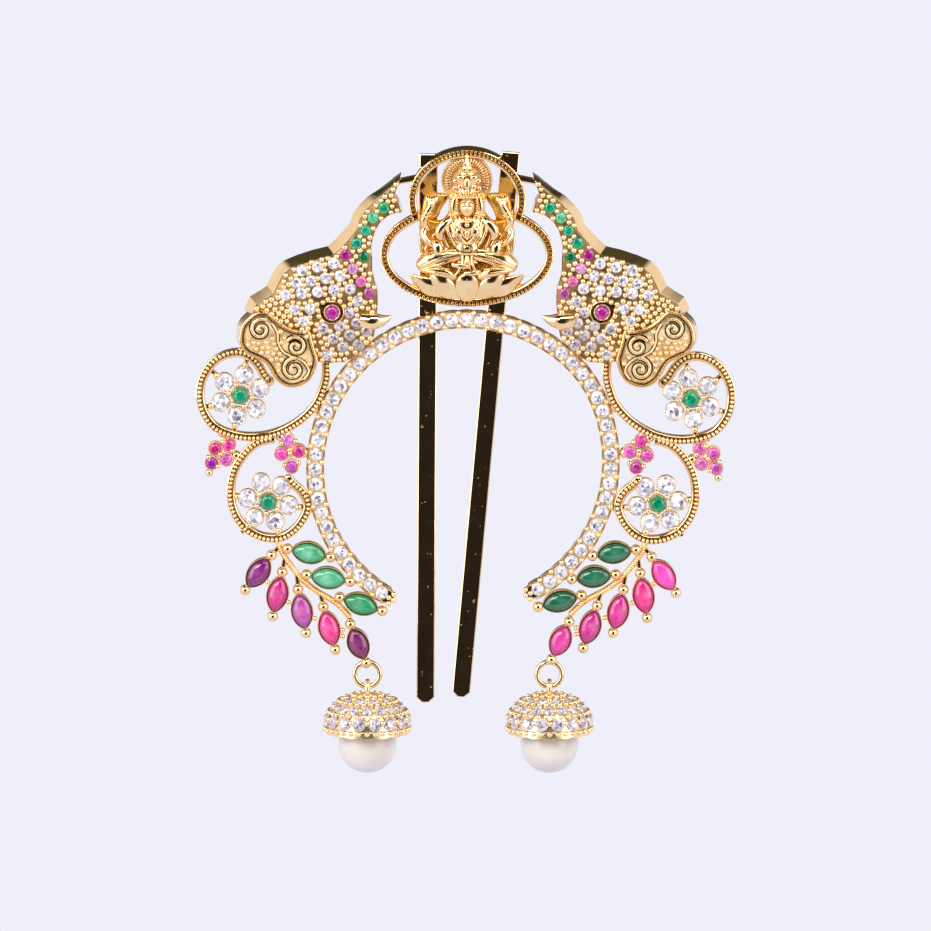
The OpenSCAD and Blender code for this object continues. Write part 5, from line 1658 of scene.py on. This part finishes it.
# %% Necklaces, bands and folds
# Strings across the figure: their left half, the grains' radius and their pitch
NECKLACES = [
    ([(-0.95, 12.75, 2.4), (-0.6, 12.3, 2.85), (0, 12.1, 2.95)], 0.15, 0.26),
    ([(-1.3, 12.6, 2.4), (-0.8, 11.6, 3.0), (0, 11.1, 3.15)], 0.13, 0.24),
]
BELTS = [
    ([(-1.5, 9.95, 2.2), (-0.9, 9.8, 2.6), (0, 9.75, 2.75)], 0.14, 0.24),
    ([(-1.6, 8.75, 2.3), (-0.9, 8.6, 2.65), (0, 8.55, 2.8)], 0.14, 0.24),
]
BRACELETS = [
    ([(-4.95, 12.75, 2.3), (-4.5, 12.62, 2.6), (-4.0, 12.75, 2.35)], 0.13, 0.21),
    ([(-4.85, 13.1, 2.3), (-4.4, 13.0, 2.55), (-3.95, 13.1, 2.35)], 0.1, 0.18),
    ([(-4.9, 11.9, 2.1), (-4.5, 11.55, 2.4), (-4.2, 11.2, 2.4)], 0.13, 0.21),
    ([(-2.7, 12.2, 2.1), (-2.5, 11.8, 2.5), (-2.6, 11.4, 2.4)], 0.15, 0.24),
    ([(-4.5, 10.1, 2.5), (-4.0, 9.85, 2.9), (-3.6, 9.95, 2.8)], 0.13, 0.21),
]
necklaces = together(
    *[hung(*row) for row in NECKLACES],
    copies(BALL, [(0, 11.78, 3.05), (0, 10.85, 3.15)], [[0.26, 0.26, 0.2], [0.28, 0.36, 0.22]]),
    both(copies(BALL, [(-0.85, 11.0, 2.6)], [[0.66, 0.7, 0.5]])),
)
buckle = turned([(0.5, 0), (0.58, 0.1), (0.54, 0.24), (0.46, 0.26), (0.4, 0.14)], 28)
bands = together(
    *[hung(*row) for row in BELTS],
    copies(buckle, [(0, 9.2, 2.75)], [[1.0, 0.74, 1.0]]), copies(BALL, [(0, 9.2, 2.86)], [[0.44, 0.3, 0.12]]),
    *[both(string(*row)) for row in BRACELETS],
)
SCARF = [
    [(-1.7, 12.5, 2.4), (-1.35, 11.5, 2.8), (-0.7, 10.3, 2.85), (0, 9.7, 2.8)],
    [(-1.85, 11.9, 2.3), (-1.4, 10.9, 2.65), (-0.8, 10.1, 2.75), (-0.25, 9.65, 2.75)],
    [(-1.15, 12.5, 2.7), (-0.75, 11.4, 3.0), (-0.3, 10.4, 2.9)],
    [(-1.75, 11.1, 2.2), (-1.4, 10.4, 2.5), (-0.9, 9.8, 2.6)],
    [(-2.0, 12.3, 2.3), (-2.1, 11.2, 2.5), (-1.7, 10.1, 2.5), (-1.2, 9.4, 2.5)],
]
CLOTH_FOLDS = [
    [(-2.4, 11.4, 1.9), (-2.6, 10.7, 2.0), (-2.4, 9.9, 2.1), (-2.0, 9.2, 2.1)],
    [(-2.9, 11.2, 1.8), (-3.1, 10.5, 1.9), (-2.9, 9.8, 2.0), (-2.5, 9.2, 2.0)],
    [(-3.4, 11.0, 1.7), (-3.7, 10.4, 1.8), (-3.5, 9.9, 1.8)],
    [(-4.8, 11.2, 1.4), (-5.1, 10.2, 1.45), (-4.95, 9.0, 1.5), (-4.75, 8.0, 1.5)],
    [(-4.4, 9.6, 1.7), (-4.5, 9.0, 1.8), (-4.3, 8.4, 1.9)],
    [(-2.2, 9.5, 2.2), (-2.3, 9.0, 2.4), (-2.1, 8.5, 2.5)],
]
LEG_FOLDS = [
    [(-1.2, 9.0, 2.5), (-2.6, 8.85, 2.85), (-4.2, 8.25, 2.8), (-5.2, 7.5, 2.4)],
    [(-1.0, 8.6, 2.7), (-2.4, 8.3, 3.0), (-3.9, 7.75, 3.0), (-5.1, 7.1, 2.55)],
    [(-0.8, 8.2, 2.8), (-2.0, 7.8, 3.05), (-3.4, 7.35, 3.0), (-4.6, 7.0, 2.75)],
    [(-1.2, 6.1, 2.85), (-2.4, 6.4, 3.0), (-3.8, 6.6, 2.85), (-5.0, 6.8, 2.4)],
    [(-1.9, 6.9, 2.9), (-2.9, 6.95, 2.95), (-4.2, 6.95, 2.7)],
    [(-0.5, 8.4, 2.85), (-0.55, 7.6, 3.05), (-0.95, 6.7, 3.1), (-1.5, 6.1, 2.95)],
    [(-0.1, 8.4, 2.9), (-0.15, 7.7, 3.1), (-0.35, 6.9, 3.15)],
]
folds = together(*[
    both(fold(rows, width)) for group, width in ((SCARF, 0.18), (CLOTH_FOLDS, 0.2), (LEG_FOLDS, 0.14))
    for rows in group
])
piece("figure", together(
    rays(30, 1.6, 2.62, -20, 200), hair, sleeves, crown, crown_rows, top_knot, torso, *limbs, feet,
    both(bud), both(hand), necklaces, bands, folds,
), polished_gold)
piece("figure_face", face, bead_gold)

# %% [markdown]
# ## Lines of the face
# On so small a face the creases of the closed lids, the brows and the mouth lie in shade, and that
# shade is painted as dark lines. They could be a pattern in the finish. Here each is a thin fold
# laid on the face's own ellipsoid, whose depth follows from x and height.

# %% Lines of the face
def on_face(rows, width):
    """A fine line drawn on the face's front through points of x and height."""
    x, z = np.array(rows).T
    share = np.sqrt(1 - (x / FACE_SIZE[0]) ** 2 - ((z - FACE_AT[1]) / FACE_SIZE[1]) ** 2)
    return fold(np.stack([x, z, FACE_AT[2] + FACE_SIZE[2] * share + 0.03], -1).tolist(), width)


# Painted shade: dark lines in the creases of lids, brows and mouth
piece("painted_face_creases", together(
    both(on_face([(-0.56, 13.9), (-0.36, 13.82), (-0.17, 13.9)], 0.055)),
    both(on_face([(-0.6, 14.16), (-0.36, 14.26), (-0.12, 14.16)], 0.05)),
    on_face([(-0.22, 13.3), (0, 13.25), (0.22, 13.3)], 0.05),
), painted_shade_gold)

# %% [markdown]
# ## Studio
# Polished metal shows its surroundings, so the light is most of the finish. The room is a ramp of
# colours from pale below, as over a white table, to dark above. It is lit at the sides and dark
# straight in front, which draws the dark edges and flats. The camera sees a plain pale backdrop
# in its place.

# %% Room
BACKDROP = (0.863, 0.863, 0.956)
scene = bpy.context.scene
world = bpy.data.worlds.new("studio")
scene.world = world
world.use_nodes = True
tree = world.node_tree
split = tree.nodes.new("ShaderNodeSeparateXYZ")
tree.links.new(tree.nodes.new("ShaderNodeTexCoord").outputs["Generated"], split.inputs["Vector"])
x, y, z = split.outputs
walls = ramp(tree, [(0.0, (1.0, 0.95, 0.93)), (0.42, (0.95, 0.89, 0.87)), (0.50, (0.62, 0.55, 0.52)),
                    (0.56, (0.25, 0.22, 0.19)), (0.64, (0.04, 0.037, 0.022)), (1.0, (0.09, 0.086, 0.05))])
tree.links.new(math_node(tree, "MULTIPLY_ADD", z, 0.5, 0.5), walls.inputs["Fac"])
to_side = mapped(tree, math_node(tree, "ABSOLUTE", x), 0.35, 0.65, 0, 1)
lit = mixed(tree, to_side, walls.outputs["Color"], (0.95, 0.90, 0.90))
straight = math_node(tree, "MULTIPLY_ADD", y, -0.99, math_node(tree, "MULTIPLY", z, -0.10))
dark_front = mapped(tree, straight, 0.85, 0.95, 0, 1)
room = tree.nodes["Background"]
tree.links.new(mixed(tree, dark_front, lit, (0.028, 0.024, 0.022)), room.inputs["Color"])
pale = tree.nodes.new("ShaderNodeBackground")
pale.inputs["Color"].default_value = (*BACKDROP, 1)
choose = tree.nodes.new("ShaderNodeMixShader")
tree.links.new(tree.nodes.new("ShaderNodeLightPath").outputs["Is Camera Ray"], choose.inputs["Fac"])
tree.links.new(room.outputs["Background"], choose.inputs[1])
tree.links.new(pale.outputs["Background"], choose.inputs[2])
tree.links.new(choose.outputs["Shader"], tree.nodes["World Output"].inputs["Surface"])
print("nodes in the room:", len(tree.nodes))

# %% [markdown]
# ## Soft boxes
# Two large soft boxes stand to the left and right, a smaller one high on the left and a long one
# above the camera. A small bare lamp would give hard sparks and black shadows. Area lights give
# long soft highlights on the wires, as a photographer's tent does.

# %% Soft boxes
def soft_box(name, at, size, power, colour=(1, 1, 1), aim=(0, -0.002, -0.015)):
    """A rectangular light of width and height in metres that looks at the pin."""
    data = bpy.data.lights.new(name, "AREA")
    data.shape, data.size, data.size_y = "RECTANGLE", size[0], size[1]
    data.energy, data.color = power, colour
    made = bpy.data.objects.new(name, data)
    scene.collection.objects.link(made)
    made.location = at
    made.rotation_euler = (Vector(aim) - Vector(at)).to_track_quat("-Z", "Y").to_euler()
    made.visible_camera = False


soft_box("left_box", (-0.75, -0.55, 0.25), (0.6, 0.9), 4.2, (1.0, 0.97, 0.96))
soft_box("right_box", (0.75, -0.55, 0.25), (0.6, 0.9), 3.6, (1.0, 0.97, 0.96))
soft_box("key_box", (-0.42, -0.8, 0.5), (0.4, 0.34), 2.6, (1.0, 0.98, 0.97))
soft_box("top_box", (0.2, -0.75, 0.8), (0.7, 0.3), 3)

# %% [markdown]
# ## Floor
# The floor is plain and pale, far enough below for the pin's shadow to be lost on it. A lit floor
# would show a line where it meets the backdrop. This one shines with the backdrop's own colour, so
# that floor and backdrop are one in every view.

# %% Floor
def floor_grid(half, z):
    """A flat rectangle at a height, in metres, that reaches further back than forward."""
    mesh = bpy.data.meshes.new("floor")
    x, y = np.meshgrid([-half, half], [-0.6, 2 * half], indexing="ij")
    points = np.stack([x.ravel(), y.ravel(), np.full(4, z)], -1)
    mesh.from_pydata(points, [], [[0, 2, 3, 1]])
    return mesh


floor_paint = bpy.data.materials.new("floor_paint")
floor_paint.use_nodes = True
paint = floor_paint.node_tree.nodes["Principled BSDF"]
paint.inputs["Base Color"].default_value = (0, 0, 0, 1)
paint.inputs["Specular IOR Level"].default_value = 0
paint.inputs["Emission Color"].default_value = (*BACKDROP, 1)
paint.inputs["Emission Strength"].default_value = 1
floor_mesh = floor_grid(7.0, -0.3)
floor_mesh.materials.append(floor_paint)
floor = bpy.data.objects.new("floor", floor_mesh)
scene.collection.objects.link(floor)
scene.view_settings.view_transform = "Standard"
scene.cycles.use_denoising = True
print("floor at", floor_mesh.vertices[0].co.z, "m")

# %% [markdown]
# ## Camera
# The photo looks slightly down, from 7.5 degrees above, with a long lens. A view without any
# perspective would be simpler, but a photographer's camera stands near enough to have a little. So
# this one stands 0.88 m away, and its field of view is set by the width that the picture covers.

# %% Camera
ELEVATION, DISTANCE, HALF_WIDTH = np.radians(7.5), 0.88, 51.2
AIM = np.array([-0.165, -2.1, -14.93]) * MM
camera_data = bpy.data.cameras.new("camera")
camera_data.lens_unit = "FOV"
camera_data.angle = 2 * np.arctan(HALF_WIDTH / (1000 * DISTANCE))
camera_data.clip_start = 0.01
camera = bpy.data.objects.new("camera", camera_data)
scene.collection.objects.link(camera)
camera.location = AIM + DISTANCE * np.array([0, -np.cos(ELEVATION), np.sin(ELEVATION)])
camera.rotation_euler = (np.pi / 2 - ELEVATION, 0, 0)
scene.camera = camera
print("camera at", np.round(camera.location, 3).tolist())
